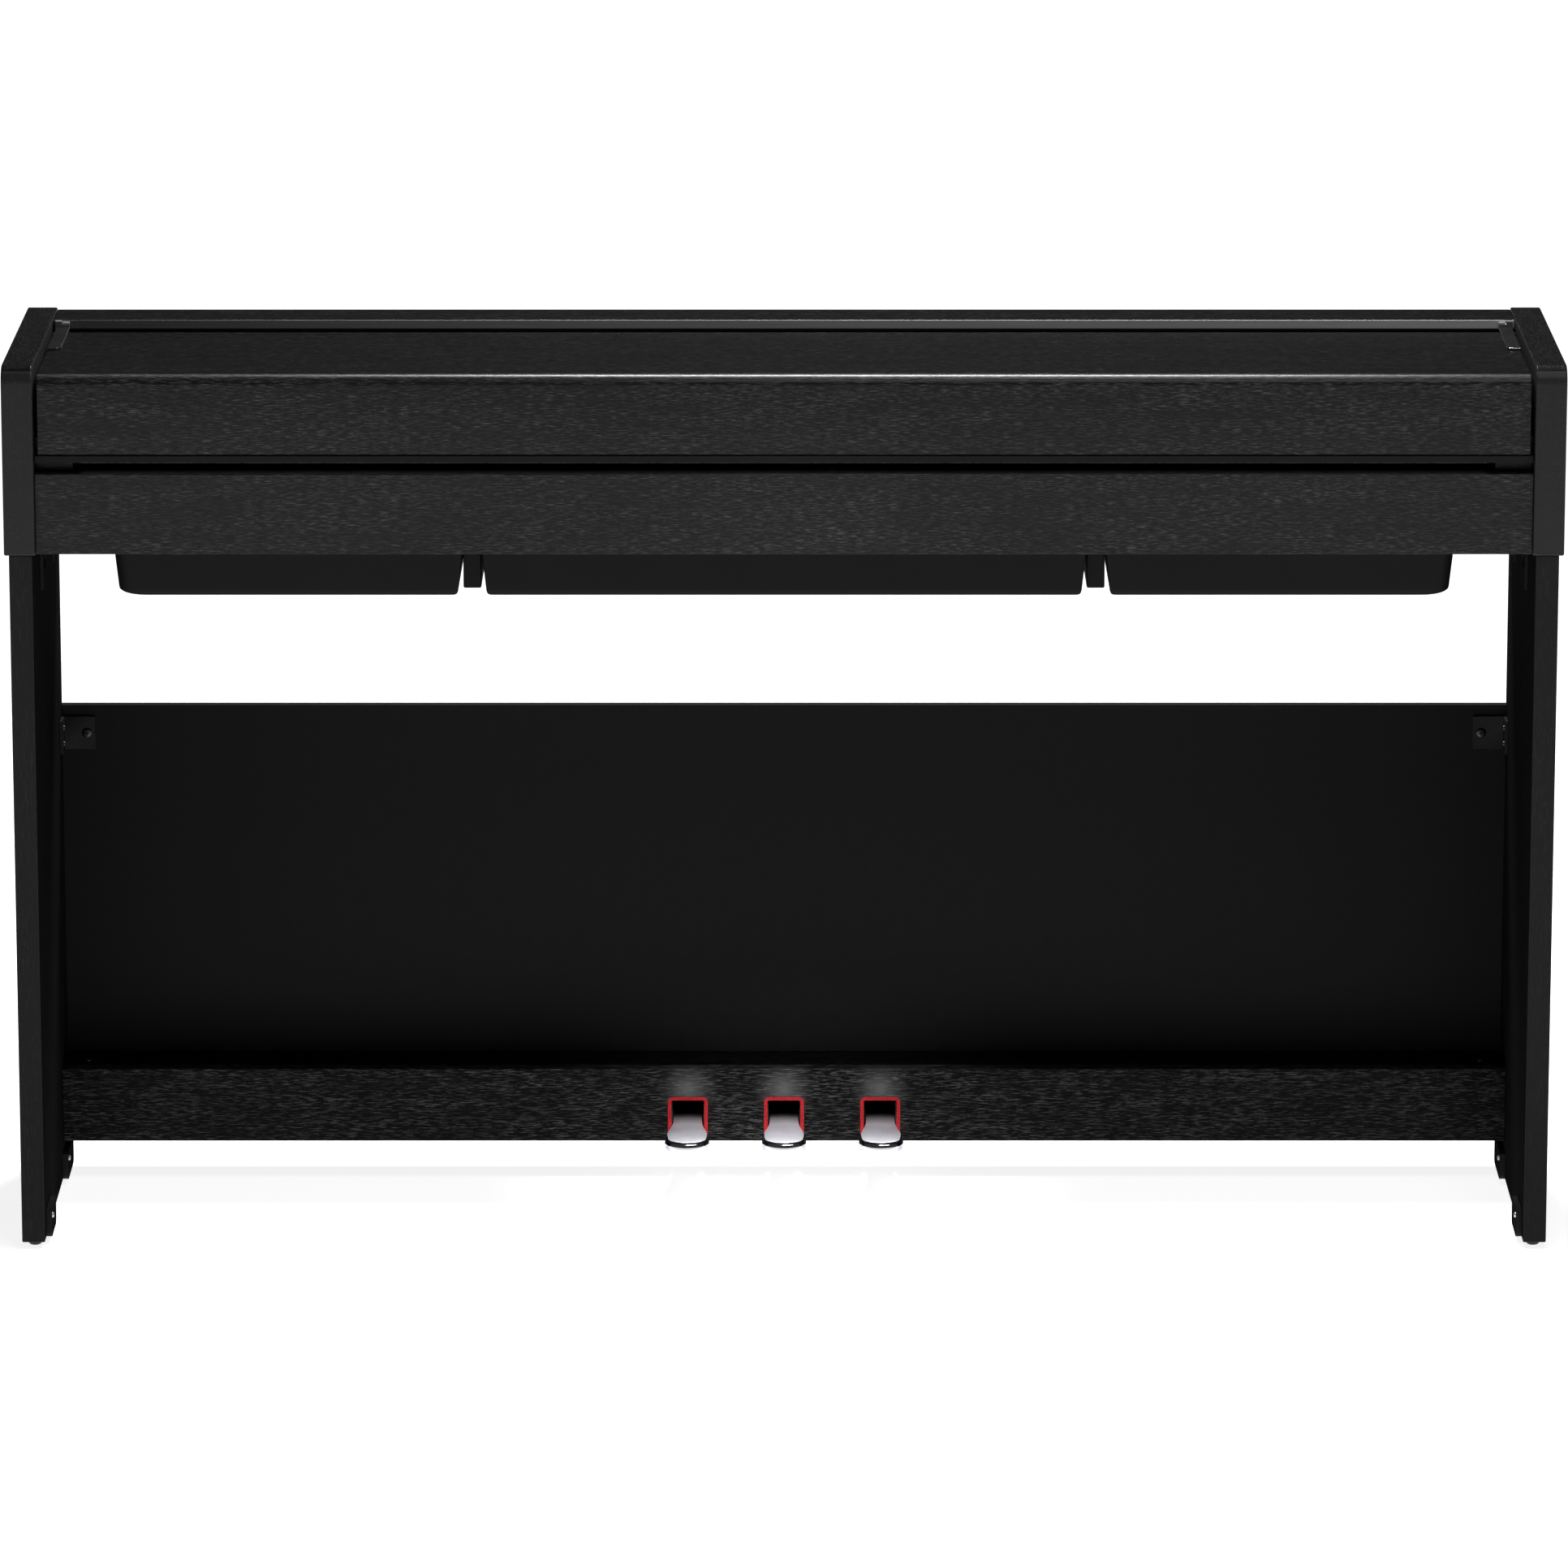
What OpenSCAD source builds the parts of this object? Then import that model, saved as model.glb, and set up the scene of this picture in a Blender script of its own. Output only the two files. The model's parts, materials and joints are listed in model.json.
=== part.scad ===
// Slim 88-key digital piano on its stand, in millimetres.
// The origin is on the floor, under the middle of the case. The player sits on the -Y side.

/* [Case] */
// Overall width, over the two arms
body_w = 1353; // [1310:1:1650]
// Overall depth, front of the arms to their back
body_d = 296; // [284:1:380]
// Overall height, floor to the top of the arms
body_h = 792; // [650:1:960]
// Height of the arms
arm_h = 166.5; // [160:0.5:185]
// Thickness of the arms
arm_t = 27; // [20:1:32]
// Radius of the arms' front top corner
arm_round = 16; // [6:1:30]
// Thickness of the keybed board
keybed_t = 15; // [10:1:18]
// Height of the rail below the keys
rail_h = 71; // [62:1:72]
// Thickness of the rail below the keys
rail_t = 18; // [12:1:18]
// How far the rail and the flap stand behind the front of the arms
front_setback = 7; // [4:1:10]
// Thickness of the rear cover
rear_cover_t = 8; // [4:1:10]

/* [Lid and flap] */
// Thickness of the lid
lid_t = 15; // [12:1:18]
// How far the lid's top lies below the top of the arms
lid_drop = 9; // [8:0.5:12]
// Gap between each end of the lid and its arm
lid_end_gap = 3.2; // [2:0.1:5]
// Thickness of the flap
flap_t = 10.5; // [9:0.5:12]
// Radius of the flap's front top corner
flap_round = 9; // [4:1:9]
// Gap between the rail and the flap's lip
flap_gap = 10; // [8:0.5:14]
// Height of the flap's lip
lip_h = 6; // [4:0.5:7]
// Depth of the rear top board
rear_board_d = 54; // [50:1:62]
// Thickness of the rear top board
rear_board_t = 15; // [12:1:18]
// Depth of the ledge that music stands on when the lid is open
ledge_h = 17; // [10:1:18]
// Length of the hinge plates on the lid
leaf_l = 108; // [60:1:140]
// Radius of the lid's hinge pins
hinge_pin_r = 1.5; // [1.2:0.1:1.8]

/* [Keys] */
// Width of one white key with its gap
key_pitch = 23.5; // [22:0.1:23.6]
// Gap between neighbouring keys
key_gap = 0.9; // [0.7:0.1:1.2]
// Length of a white key that shows in front of the panel
white_l = 147; // [140:1:150]
// Length of a black key that shows
black_l = 95; // [90:1:97]
// Width of a black key
black_w = 10.4; // [9:0.1:11]
// Height of the white keys
white_h = 16; // [12:1:18]
// How far the black keys stand above the white ones
black_rise = 12; // [9:0.5:13]
// Radius of the rod that the keys turn on
key_axle_r = 2; // [1.5:0.1:2.5]

/* [Stand] */
// Thickness of the leg panels
leg_t = 20.3; // [16:0.1:24]
// How far the leg panels stand in from the arms' outer faces
leg_inset = 4; // [1:0.5:8]
// Height of the glides
glide_h = 6.5; // [4:0.5:12]
// Radius of the glides
glide_r = 6; // [5:0.5:9]
// Thickness of the backboard
backboard_t = 10; // [6:1:12]
// Height of the backboard's top above the floor
backboard_top = 430; // [300:5:460]
// Height of the boxes under the keybed
under_box_h = 43.5; // [30:0.5:60]
// Depth of the boxes under the keybed
under_box_d = 185; // [140:1:190]

/* [Pedals] */
// Height of the pedal box's underside above the floor
pedal_box_z = 40; // [36:1:60]
// Height of the pedal box
pedal_box_h = 67.5; // [64:0.5:80]
// Depth of the pedal box, up to the backboard
pedal_box_d = 65; // [60:1:80]
// Distance between neighbouring pedals
pedal_pitch = 87; // [75:1:100]
// Width of a pedal's neck
pedal_neck_w = 27; // [20:0.5:27]
// Width of a pedal's foot plate
pedal_w = 40; // [32:0.5:46]
// How far the pedals reach out in front of the pedal box
pedal_reach = 87; // [70:1:100]
// Width of the openings for the pedals
pedal_slot_w = 36.2; // [35:0.1:40]
// Radius of the rod that the pedals turn on
pedal_axle_r = 4; // [3:0.5:4.5]

/* [Clearances] */
// Radial clearance of a rod in a turning part
turn_clear = 0.05; // [0.03:0.01:0.08]
// Gap between parts that slide or turn past each other
side_clear = 0.5; // [0.4:0.1:0.8]

/* [Hidden] */

$fn = 48;
eps = 1;

black = [0.12, 0.12, 0.12];
dark_grey = [0.2, 0.2, 0.2];
steel = [0.72, 0.72, 0.72];
felt_red = [0.65, 0.08, 0.1];

// Across: half widths of the case and the stand
case_half = body_w / 2;
arm_inner = case_half - arm_t;
leg_outer = case_half - leg_inset;
leg_inner = leg_outer - leg_t;
lid_half = arm_inner - lid_end_gap;

// Front to back: y() turns a distance behind the arms' front into the model's Y
function y(from_front) = from_front - body_d / 2;
rail_back = front_setback + rail_t;
flap_back = front_setback + flap_t;
rear_board_front = body_d - rear_board_d;
rear_cover_recess = 2;
rear_cover_back = body_d - rear_cover_recess;
rear_cover_front = rear_cover_back - rear_cover_t;
filler_w = 8;
filler_drop = 2;
filler_to_board = 12;
lid_to_filler = 3;
filler_back = rear_board_front - filler_to_board;
filler_front = filler_back - filler_w;
fold_gap = 1;
lid_front = flap_back + fold_gap;
lid_back = filler_front - lid_to_filler;

// Heights above the floor
case_bottom = body_h - arm_h;
keybed_top = case_bottom + keybed_t;
rail_top = case_bottom + rail_h;
lid_top = body_h - lid_drop;
lid_bottom = lid_top - lid_t;
rear_board_drop = 2;
rear_board_top = body_h - rear_board_drop;
rear_board_bottom = rear_board_top - rear_board_t;
lip_bottom = rail_top + flap_gap;
lip_top = lip_bottom + lip_h;
lip_neck_h = 1;
flap_bottom = lip_top + lip_neck_h;

// The lid's hinge
hinge_in = 4;
hinge_rise = 3;
hinge_y = rear_board_front - hinge_in;
hinge_z = lid_top + hinge_rise;
knuckle_r = 3.4;
block_half = 4;
leaf_t = 2;
leaf_w = 11.5;
leaf_edge = 0.1;
knuckle_l = 6.3;
leaf_outer = lid_half - leaf_edge;
leaf_inner = leaf_outer - leaf_w;
knuckle_outer = leaf_inner + knuckle_l;
block_inner = knuckle_outer + side_clear;
block_to_arm = 2.2;
block_outer = arm_inner - block_to_arm;

// The flap's hinges
flap_pin_r = 1;
flap_knuckle_r = 2.1;
flap_axis_offset = 2.5;
flap_hinge_y = flap_back + flap_axis_offset;
flap_hinge_z = lid_bottom - flap_axis_offset;
flap_leaf_t = 1;
flap_leaf_l = 22;
flap_hinge_w = 60;
flap_hinge_x = [-460, 0, 460];

// The keyboard
white_count = 52;
keyboard_half = white_count * key_pitch / 2;
octave_w = 7 * key_pitch;
key_to_rail = 2;
key_over_rail = 5.5;
key_front = rail_back + key_to_rail;
white_bottom = rail_top + key_over_rail;
white_top = white_bottom + white_h;
black_top = white_top + black_rise;
panel_front = key_front + white_l;
black_to_panel = 2;
black_front = panel_front - black_l - black_to_panel;
key_axle_in = 8;
key_axle_y = rear_board_front - key_axle_in;
key_axle_z = white_bottom + white_h / 2;
key_tail = 5;
key_back = key_axle_y + key_tail;
key_travel = 10;
black_notes = [1, 3, 6, 8, 10];
white_notes = [0, 2, 4, 5, 7, 9, 11];
ear_slot = 4;
ear_t = 2;
ear_reach = 14;
ear_front = key_axle_y - ear_reach;

// The panel behind the keys
panel_drop = 23;
panel_top = lid_bottom - panel_drop;
panel_t = 3;
skirt_bottom = black_top + 1;
button_forward = 8;
button_y = (panel_front + lid_back) / 2 - button_forward;
button_r = 5;
power_x = 560;
knob_x = -560;
knob_r = 9;
knob_shaft_r = 3;

// The stand
leg_front = 3;
leg_recess = 1;
leg_back = body_d - leg_recess;
backboard_front = leg_back - backboard_t;
box_front = backboard_front - pedal_box_d;
box_board_t = 15;
box_top = pedal_box_z + pedal_box_h;
bracket_t = 3;

// The pedals
pedal_x = [-pedal_pitch, 0, pedal_pitch];
pedal_axle_in = 42;
pedal_axle_up = 18;
pedal_axle_y = box_front + pedal_axle_in;
pedal_axle_z = pedal_box_z + pedal_axle_up;
pedal_hub_r = 9;
pedal_tip = box_front - pedal_reach;
pedal_rise = 5;
pedal_top = pedal_axle_z + pedal_rise;
pedal_metal = 4;
pedal_ear_t = 2.5;
pedal_ear_in = pedal_neck_w / 2 + side_clear;
pedal_ear_out = pedal_ear_in + pedal_ear_t;
slot_drop = 26.5;
slot_top = box_top - slot_drop;
felt_t = 3.3;
spring_wire = 2;
spring_turns = 5;
spring_steps = 14;
spring_gap = 1.3;
spring_r = pedal_axle_r + spring_gap;

// ---------- helpers ----------

// A box from one corner to the opposite one; the Y values count from the arms' front
module block(x0, x1, y0, y1, z0, z1) {
    translate([x0, y(y0), z0]) cube([x1 - x0, y1 - y0, z1 - z0]);
}

// The same thing on both sides
module both_sides() {
    children();
    mirror([1, 0, 0]) children();
}

// A round bar along X
module bar(x0, x1, from_front, z, r) {
    translate([x0, y(from_front), z]) rotate([0, 90, 0]) cylinder(r = r, h = x1 - x0);
}

// A flat shape drawn in (distance from the front, height), pushed out along X
module side_profile(x0, x1) {
    translate([x0, y(0), 0]) rotate([90, 0, 90]) linear_extrude(x1 - x0) children();
}

// Points on an arc, from one angle to another
function arc(cx, cy, r, a0, a1, n = 8) =
    [for (i = [0:n]) [cx + r * cos(a0 + (a1 - a0) * i / n), cy + r * sin(a0 + (a1 - a0) * i / n)]];

// ---------- case ----------

module arm_shape() {
    r = arm_round;
    polygon(concat(
        [[0, case_bottom], [body_d, case_bottom], [body_d, body_h]],
        arc(r, body_h - r, r, 90, 180)
    ));
}

module arm_left() {
    color(black) side_profile(-case_half, -arm_inner) arm_shape();
}

module arm_right() {
    color(black) side_profile(arm_inner, case_half) arm_shape();
}

module keybed() {
    color(black) block(-arm_inner, arm_inner, rail_back, rear_cover_front, case_bottom, keybed_top);
}

module front_rail() {
    color(black) block(-arm_inner, arm_inner, front_setback, rail_back, case_bottom, rail_top);
}

module rear_top_board() {
    color(black)
        block(-arm_inner, arm_inner, rear_board_front, body_d, rear_board_bottom, rear_board_top);
}

socket_x = 350;
socket_z_in = 22;
socket_r = 8;

module rear_cover() {
    color(dark_grey) difference() {
        block(-arm_inner, arm_inner, rear_cover_front, rear_cover_back, case_bottom, rear_board_bottom);
        translate([socket_x, y(rear_cover_front) - eps, keybed_top + socket_z_in])
            rotate([-90, 0, 0]) cylinder(r = socket_r, h = rear_cover_t + 2 * eps);
    }
}

// The plug socket for the mains adaptor, held in the rear cover
module power_inlet() {
    body_l = 14;
    plug_r = 3;
    pin_r = 1;
    color(black) translate([socket_x, y(rear_cover_back), keybed_top + socket_z_in]) rotate([90, 0, 0]) {
        difference() {
            cylinder(r = socket_r, h = body_l);
            translate([0, 0, -eps]) cylinder(r = plug_r, h = body_l - 3 + eps);
        }
        translate([0, 0, 2]) cylinder(r = pin_r, h = body_l - 4);
    }
}

// The strip that closes the gap between the lid and the rear top board
module filler_strip() {
    color(dark_grey)
        block(-arm_inner, arm_inner, filler_front, filler_back, panel_top, lid_top - filler_drop);
}

// ---------- lid and flap ----------

module lid() {
    color(black) block(-lid_half, lid_half, lid_front, lid_back, lid_bottom, lid_top);
}

module music_ledge() {
    ledge_t = 8;
    from_back = 6;
    from_end = 40;
    color(black) block(-lid_half + from_end, lid_half - from_end, lid_back - from_back - ledge_t,
        lid_back - from_back, lid_bottom - ledge_h, lid_bottom);
}

module hinge_blocks() {
    color(dark_grey) both_sides() difference() {
        block(block_inner, block_outer, hinge_y - block_half, hinge_y + block_half,
            hinge_z - block_half, hinge_z + block_half);
        bar(block_inner - eps, block_outer + eps, hinge_y, hinge_z, hinge_pin_r);
    }
}

module hinge_pins() {
    color(steel) both_sides() bar(leaf_inner, block_outer, hinge_y, hinge_z, hinge_pin_r);
}

// Each plate lies on the lid, and its tongue ends in a knuckle on the pin
module hinge_leaves() {
    plate_to_pin = 6.5;
    plate_back = hinge_y - plate_to_pin;
    plate_front = hinge_y - leaf_l;
    corner = 5;
    color(dark_grey) both_sides() difference() {
        union() {
            difference() {
                block(leaf_inner, leaf_outer, plate_front, plate_back, lid_top, lid_top + leaf_t);
                translate([leaf_inner - eps, y(plate_front) - eps, lid_top - eps])
                    cube([corner + eps, corner + eps, leaf_t + 2 * eps]);
            }
            translate([leaf_inner + corner, y(plate_front) + corner, lid_top])
                cylinder(r = corner, h = leaf_t);
            block(leaf_inner, knuckle_outer, plate_back - eps, hinge_y, lid_top, lid_top + leaf_t);
            bar(leaf_inner, knuckle_outer, hinge_y, hinge_z, knuckle_r);
        }
        bar(leaf_inner - eps, knuckle_outer + eps, hinge_y, hinge_z, hinge_pin_r + turn_clear);
    }
}

module flap_shape() {
    polygon(concat(
        [[front_setback, flap_bottom], [flap_back, flap_bottom], [flap_back, lid_top]],
        arc(front_setback + flap_round, lid_top - flap_round, flap_round, 90, 180)
    ));
}

module flap() {
    color(black) side_profile(-lid_half, lid_half) flap_shape();
}

// A moulding with a narrow neck that leaves a shadow line under the flap
module flap_lip() {
    end_gap = 0.8;
    lip_half = arm_inner - end_gap;
    neck = 1.5;
    proud = 1;
    color(black) {
        block(-lip_half, lip_half, front_setback - proud, flap_back, lip_bottom, lip_top);
        block(-lid_half, lid_half, front_setback + neck, flap_back - neck, lip_top, flap_bottom);
    }
}

// Each of the three flap hinges has two outer knuckles on the lid's plate
module flap_hinge_plates() {
    third = flap_hinge_w / 3;
    color(steel) for (x = flap_hinge_x) translate([x, 0, 0]) difference() {
        union() {
            block(-flap_hinge_w / 2, flap_hinge_w / 2, flap_hinge_y + flap_knuckle_r + side_clear,
                flap_hinge_y + flap_leaf_l, lid_bottom - flap_leaf_t, lid_bottom);
            for (x0 = [-flap_hinge_w / 2, third / 2 + side_clear / 2]) {
                x1 = x0 + third - side_clear / 2;
                block(x0, x1, flap_hinge_y, flap_hinge_y + flap_leaf_l, lid_bottom - flap_leaf_t,
                    lid_bottom);
                block(x0, x1, flap_hinge_y, flap_hinge_y + flap_knuckle_r, flap_hinge_z,
                    lid_bottom - flap_leaf_t);
                bar(x0, x1, flap_hinge_y, flap_hinge_z, flap_knuckle_r);
            }
        }
        bar(-flap_hinge_w, flap_hinge_w, flap_hinge_y, flap_hinge_z, flap_pin_r + turn_clear);
    }
}

// The flap's leaves carry the middle knuckle, and the pin is riveted into it
module flap_hinge_leaves() {
    third = flap_hinge_w / 3;
    half = third / 2 - side_clear / 2;
    leaf_low = flap_hinge_z - flap_leaf_l;
    color(steel) for (x = flap_hinge_x) translate([x, 0, 0]) {
        block(-flap_hinge_w / 2, flap_hinge_w / 2, flap_back, flap_back + flap_leaf_t, leaf_low,
            flap_hinge_z - flap_knuckle_r - side_clear);
        block(-half, half, flap_back, flap_back + flap_leaf_t, leaf_low, flap_hinge_z);
        block(-half, half, flap_back, flap_hinge_y, flap_hinge_z - flap_knuckle_r, flap_hinge_z);
        bar(-half, half, flap_hinge_y, flap_hinge_z, flap_knuckle_r);
        bar(-flap_hinge_w / 2, flap_hinge_w / 2, flap_hinge_y, flap_hinge_z, flap_pin_r);
    }
}

// ---------- keys ----------

function octave_x(octave) = (octave * 7 - 5) * key_pitch - keyboard_half;
function twelfth(octave, note) = octave_x(octave) + note * octave_w / 12;
// The first key is an A and the last is a C
function is_key(octave, note) = octave * 12 + note >= 9 && octave * 12 + note <= 96;
function is_black(note) = len([for (b = black_notes) if (b == note) b]) > 0;
function white_index(note) = len([for (w = white_notes) if (w < note) w]);

// The slot at each octave's start that leaves room for the frame's ears
module ear_slots() {
    for (octave = [0:8]) {
        x = octave_x(octave);
        block(x - ear_slot / 2, x + ear_slot / 2, ear_front - ear_t, key_back + eps,
            white_bottom - eps, white_top + eps);
    }
}

// A black key's place, cut out of the white keys beside it
module black_gap(octave, note) {
    middle = twelfth(octave, note + 0.5);
    half = black_w / 2 + key_gap;
    block(middle - half, middle + half, black_front - key_gap, key_back + eps,
        white_bottom - eps, white_top + eps);
}

module white_keys(note) {
    lip = 2;
    lip_t = 3;
    color("white") difference() {
        for (octave = [0:8]) if (is_key(octave, note)) {
            x0 = octave_x(octave) + white_index(note) * key_pitch;
            block(x0 + key_gap / 2, x0 + key_pitch - key_gap / 2, key_front + lip, key_back,
                white_bottom, white_top);
            block(x0 + key_gap / 2, x0 + key_pitch - key_gap / 2, key_front, key_front + lip + eps,
                white_top - lip_t, white_top);
        }
        for (octave = [0:8], side = [-1, 1]) {
            beside = note + side;
            if (is_black(beside) && is_key(octave, beside)) black_gap(octave, beside);
        }
        ear_slots();
        bar(-keyboard_half, keyboard_half, key_axle_y, key_axle_z, key_axle_r + turn_clear);
    }
}

// A black key is a low tail under the panel with a raised, sloping block in front
module black_keys(note) {
    slope = 6;
    foot = 1;
    dip = 0.5;
    to_panel = 3;
    color(black) difference() {
        for (octave = [0:8]) if (is_key(octave, note)) {
            middle = twelfth(octave, note + 0.5);
            side_profile(middle - black_w / 2, middle + black_w / 2) polygon([
                [black_front, white_bottom],
                [black_front, white_top + foot],
                [black_front + slope, black_top - dip],
                [panel_front - to_panel, black_top],
                [panel_front - to_panel, white_top],
                [key_back, white_top],
                [key_back, white_bottom]
            ]);
        }
        bar(-keyboard_half, keyboard_half, key_axle_y, key_axle_z, key_axle_r + turn_clear);
    }
}

module keys_c() { white_keys(0); }
module keys_c_sharp() { black_keys(1); }
module keys_d() { white_keys(2); }
module keys_d_sharp() { black_keys(3); }
module keys_e() { white_keys(4); }
module keys_f() { white_keys(5); }
module keys_f_sharp() { black_keys(6); }
module keys_g() { white_keys(7); }
module keys_g_sharp() { black_keys(8); }
module keys_a() { white_keys(9); }
module keys_a_sharp() { black_keys(10); }
module keys_b() { white_keys(11); }

// ---------- under the keys ----------

felt_in = 38;
felt_w = 16;
felt_h = 4;
felt_crush = 1;
felt_front = key_front + felt_in;
felt_back = felt_front + felt_w;
felt_top = white_bottom - key_travel + felt_crush;
frame_t = 3;

// The ears stand at the ends and at each octave's start
end_ear_x = keyboard_half + 3;
frame_half = end_ear_x + ear_t / 2;
function ear_x() = concat([-end_ear_x], [for (o = [1:7]) octave_x(o)], [end_ear_x]);

module key_frame() {
    color(steel) difference() {
        union() {
            block(-frame_half, frame_half, key_front, key_back, keybed_top,
                keybed_top + frame_t);
            block(-keyboard_half, keyboard_half, felt_front, felt_back, keybed_top, felt_top - felt_h);
            for (x = ear_x()) block(x - ear_t / 2, x + ear_t / 2, ear_front, key_back - 1,
                keybed_top, white_top - 1);
        }
        bar(-case_half, case_half, key_axle_y, key_axle_z, key_axle_r);
    }
}

module key_axle() {
    color(steel) bar(-frame_half, frame_half, key_axle_y, key_axle_z, key_axle_r);
}

// The felt that the keys land on, and the red strip behind them on the panel
module key_felts() {
    strip_t = 1.5;
    color(felt_red) {
        block(-keyboard_half, keyboard_half, felt_front, felt_back, felt_top - felt_h, felt_top);
        block(-keyboard_half, keyboard_half, panel_front - strip_t, panel_front, skirt_bottom,
            panel_top - panel_t);
    }
}

bumper_h = 8;
block_top = lid_bottom - bumper_h;

module key_blocks() {
    raised_l = 30;
    low_back = panel_front - raised_l;
    gap = 6;
    low_top = black_top - 4;
    color(black) both_sides() {
        block(keyboard_half + gap, arm_inner, rail_back, panel_front, keybed_top, low_top);
        block(keyboard_half + gap, arm_inner, low_back, panel_front, low_top, block_top);
    }
}

module lid_bumpers() {
    bumper_r = 5;
    from_panel = 15;
    from_arm = 16.2;
    color(dark_grey) both_sides() translate([arm_inner - from_arm, y(panel_front - from_panel), block_top])
        cylinder(r = bumper_r, h = bumper_h);
}

// ---------- panel ----------

module control_panel() {
    color(dark_grey) difference() {
        union() {
            block(-arm_inner, arm_inner, panel_front, filler_back, panel_top - panel_t, panel_top);
            block(-arm_inner, arm_inner, panel_front, panel_front + panel_t, skirt_bottom,
                panel_top - panel_t);
        }
        translate([power_x, y(button_y), panel_top - panel_t - eps])
            cylinder(r = button_r + side_clear, h = panel_t + 2 * eps);
        translate([knob_x, y(button_y), panel_top - panel_t - eps])
            cylinder(r = knob_shaft_r + turn_clear, h = panel_t + 2 * eps);
    }
}

module power_button() {
    proud = 3;
    stem = 3.4;
    color(dark_grey) translate([power_x, y(button_y), panel_top - panel_t - stem])
        cylinder(r = button_r, h = panel_t + stem + proud);
}

module volume_knob() {
    lift = 0.5;
    knob_h = 7;
    color(dark_grey) translate([knob_x, y(button_y), 0]) difference() {
        union() {
            translate([0, 0, panel_top + lift]) cylinder(r = knob_r, h = knob_h);
            translate([0, 0, panel_top - panel_t - 5]) cylinder(r = knob_shaft_r, h = panel_t + 6);
        }
        translate([-0.6, 3, panel_top + lift + knob_h - 1]) cube([1.2, knob_r, 2]);
    }
}

// An upright board with its chips, between the key axle and the rear cover
module circuit_board() {
    board_y = rear_board_front + 14;
    color("darkgreen") block(-300, 300, board_y, board_y + 1.6, keybed_top, rear_board_bottom - 30);
    color(black) for (x = [-220:110:220])
        block(x, x + 30, board_y - 2.5, board_y, keybed_top + 40, keybed_top + 70);
    color(steel) for (x = [-250:100:250])
        translate([x, y(board_y), keybed_top + 20]) rotate([90, 0, 0]) cylinder(r = 5, h = 10);
}

// ---------- boxes under the keybed ----------

under_front = 40;
under_taper = 4;
under_round = 9;
side_box_in = 280;
side_box_to_arm = 64.5;
side_box_out = arm_inner - side_box_to_arm;
middle_half = 264;
box_wall = 3;

// Front view of a box: it narrows downwards, and its lower corners are round
module under_shape(x0, x1, in, bottom) {
    r = under_round - in;
    x_low0 = x0 + under_taper + in;
    x_low1 = x1 - under_taper - in;
    polygon(concat(
        [[x1 - in, case_bottom + (in > 0 ? eps : 0)], [x0 + in, case_bottom + (in > 0 ? eps : 0)]],
        arc(x_low0 + r, bottom + in + r, r, 180, 270),
        arc(x_low1 - r, bottom + in + r, r, 270, 360)
    ));
}

module under_box(x0, x1) {
    bottom = case_bottom - under_box_h;
    color(dark_grey) difference() {
        translate([0, y(under_front), 0]) rotate([90, 0, 0]) mirror([0, 0, 1])
            linear_extrude(under_box_d) under_shape(x0, x1, 0, bottom);
        translate([0, y(under_front) + box_wall, 0]) rotate([90, 0, 0]) mirror([0, 0, 1])
            linear_extrude(under_box_d - 2 * box_wall) under_shape(x0, x1, box_wall, bottom);
        children();
    }
}

driver_y = under_front + under_box_d / 2;
driver_r = 60;
slot_count = 9;

// The slots that let the sound out through the bottom of a speaker box
module sound_slots(x) {
    slot_w = 4;
    outer_slot = 46;
    field_r = 52;
    step = 2 * outer_slot / (slot_count - 1);
    for (i = [0:slot_count - 1]) {
        across = (i - (slot_count - 1) / 2) * step;
        half = sqrt(pow(field_r, 2) - pow(across, 2));
        block(x + across - slot_w / 2, x + across + slot_w / 2, driver_y - half, driver_y + half,
            case_bottom - under_box_h - eps, case_bottom - under_box_h + box_wall + eps);
    }
}

driver_x = (side_box_in + side_box_out) / 2;

module speaker_box_left() { under_box(-side_box_out, -side_box_in) sound_slots(-driver_x); }

module speaker_box_right() { under_box(side_box_in, side_box_out) sound_slots(driver_x); }

module middle_box() { under_box(-middle_half, middle_half); }

// The set-back panels that join the boxes
module bridge_panels() {
    back_step = 8;
    rise = 5;
    joint = 0.1;
    color(dark_grey) both_sides() block(middle_half + joint, side_box_in - joint, under_front + back_step,
        under_front + under_box_d - back_step, case_bottom - under_box_h + rise, case_bottom);
}

// Each driver faces down: rim, cone and magnet
module speaker_drivers() {
    base = case_bottom - under_box_h + box_wall;
    depth = 34;
    color(dark_grey) for (side = [-1, 1])
        translate([side * driver_x, y(driver_y), base]) rotate_extrude() polygon([
            [driver_r, 0], [driver_r, 3], [driver_r - 6, 4], [24, depth - 14], [24, depth], [0, depth],
            [0, depth - 16], [10, depth - 17], [driver_r - 9, 2], [driver_r - 6, 0]
        ]);
}

// ---------- stand ----------

module leg_panel() {
    color(black) block(leg_inner, leg_outer, leg_front, leg_back, glide_h, case_bottom);
}

module leg_right() { leg_panel(); }

module leg_left() { mirror([1, 0, 0]) leg_panel(); }

glide_y = [22, body_d - 26];

module glides() {
    foot = 2.5;
    color(dark_grey) both_sides() for (gy = glide_y)
        translate([(leg_inner + leg_outer) / 2, y(gy), 0]) rotate_extrude() polygon(concat(
            [[0, 0], [glide_r - foot, 0]],
            arc(glide_r - foot, foot, foot, -80, 0, 6),
            [[glide_r, glide_h], [0, glide_h]]
        ));
}

module backboard() {
    color(dark_grey)
        block(-leg_inner, leg_inner, backboard_front, backboard_front + backboard_t, pedal_box_z,
            backboard_top);
}

// Thick plates on the inner faces of the legs, low down, with two holes each
foot_plate_t = 5;
foot_plate_z = [glide_h, glide_h + 24.5];
foot_plates = [[18.5, 68], [body_d - 88, body_d - 24]];

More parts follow.
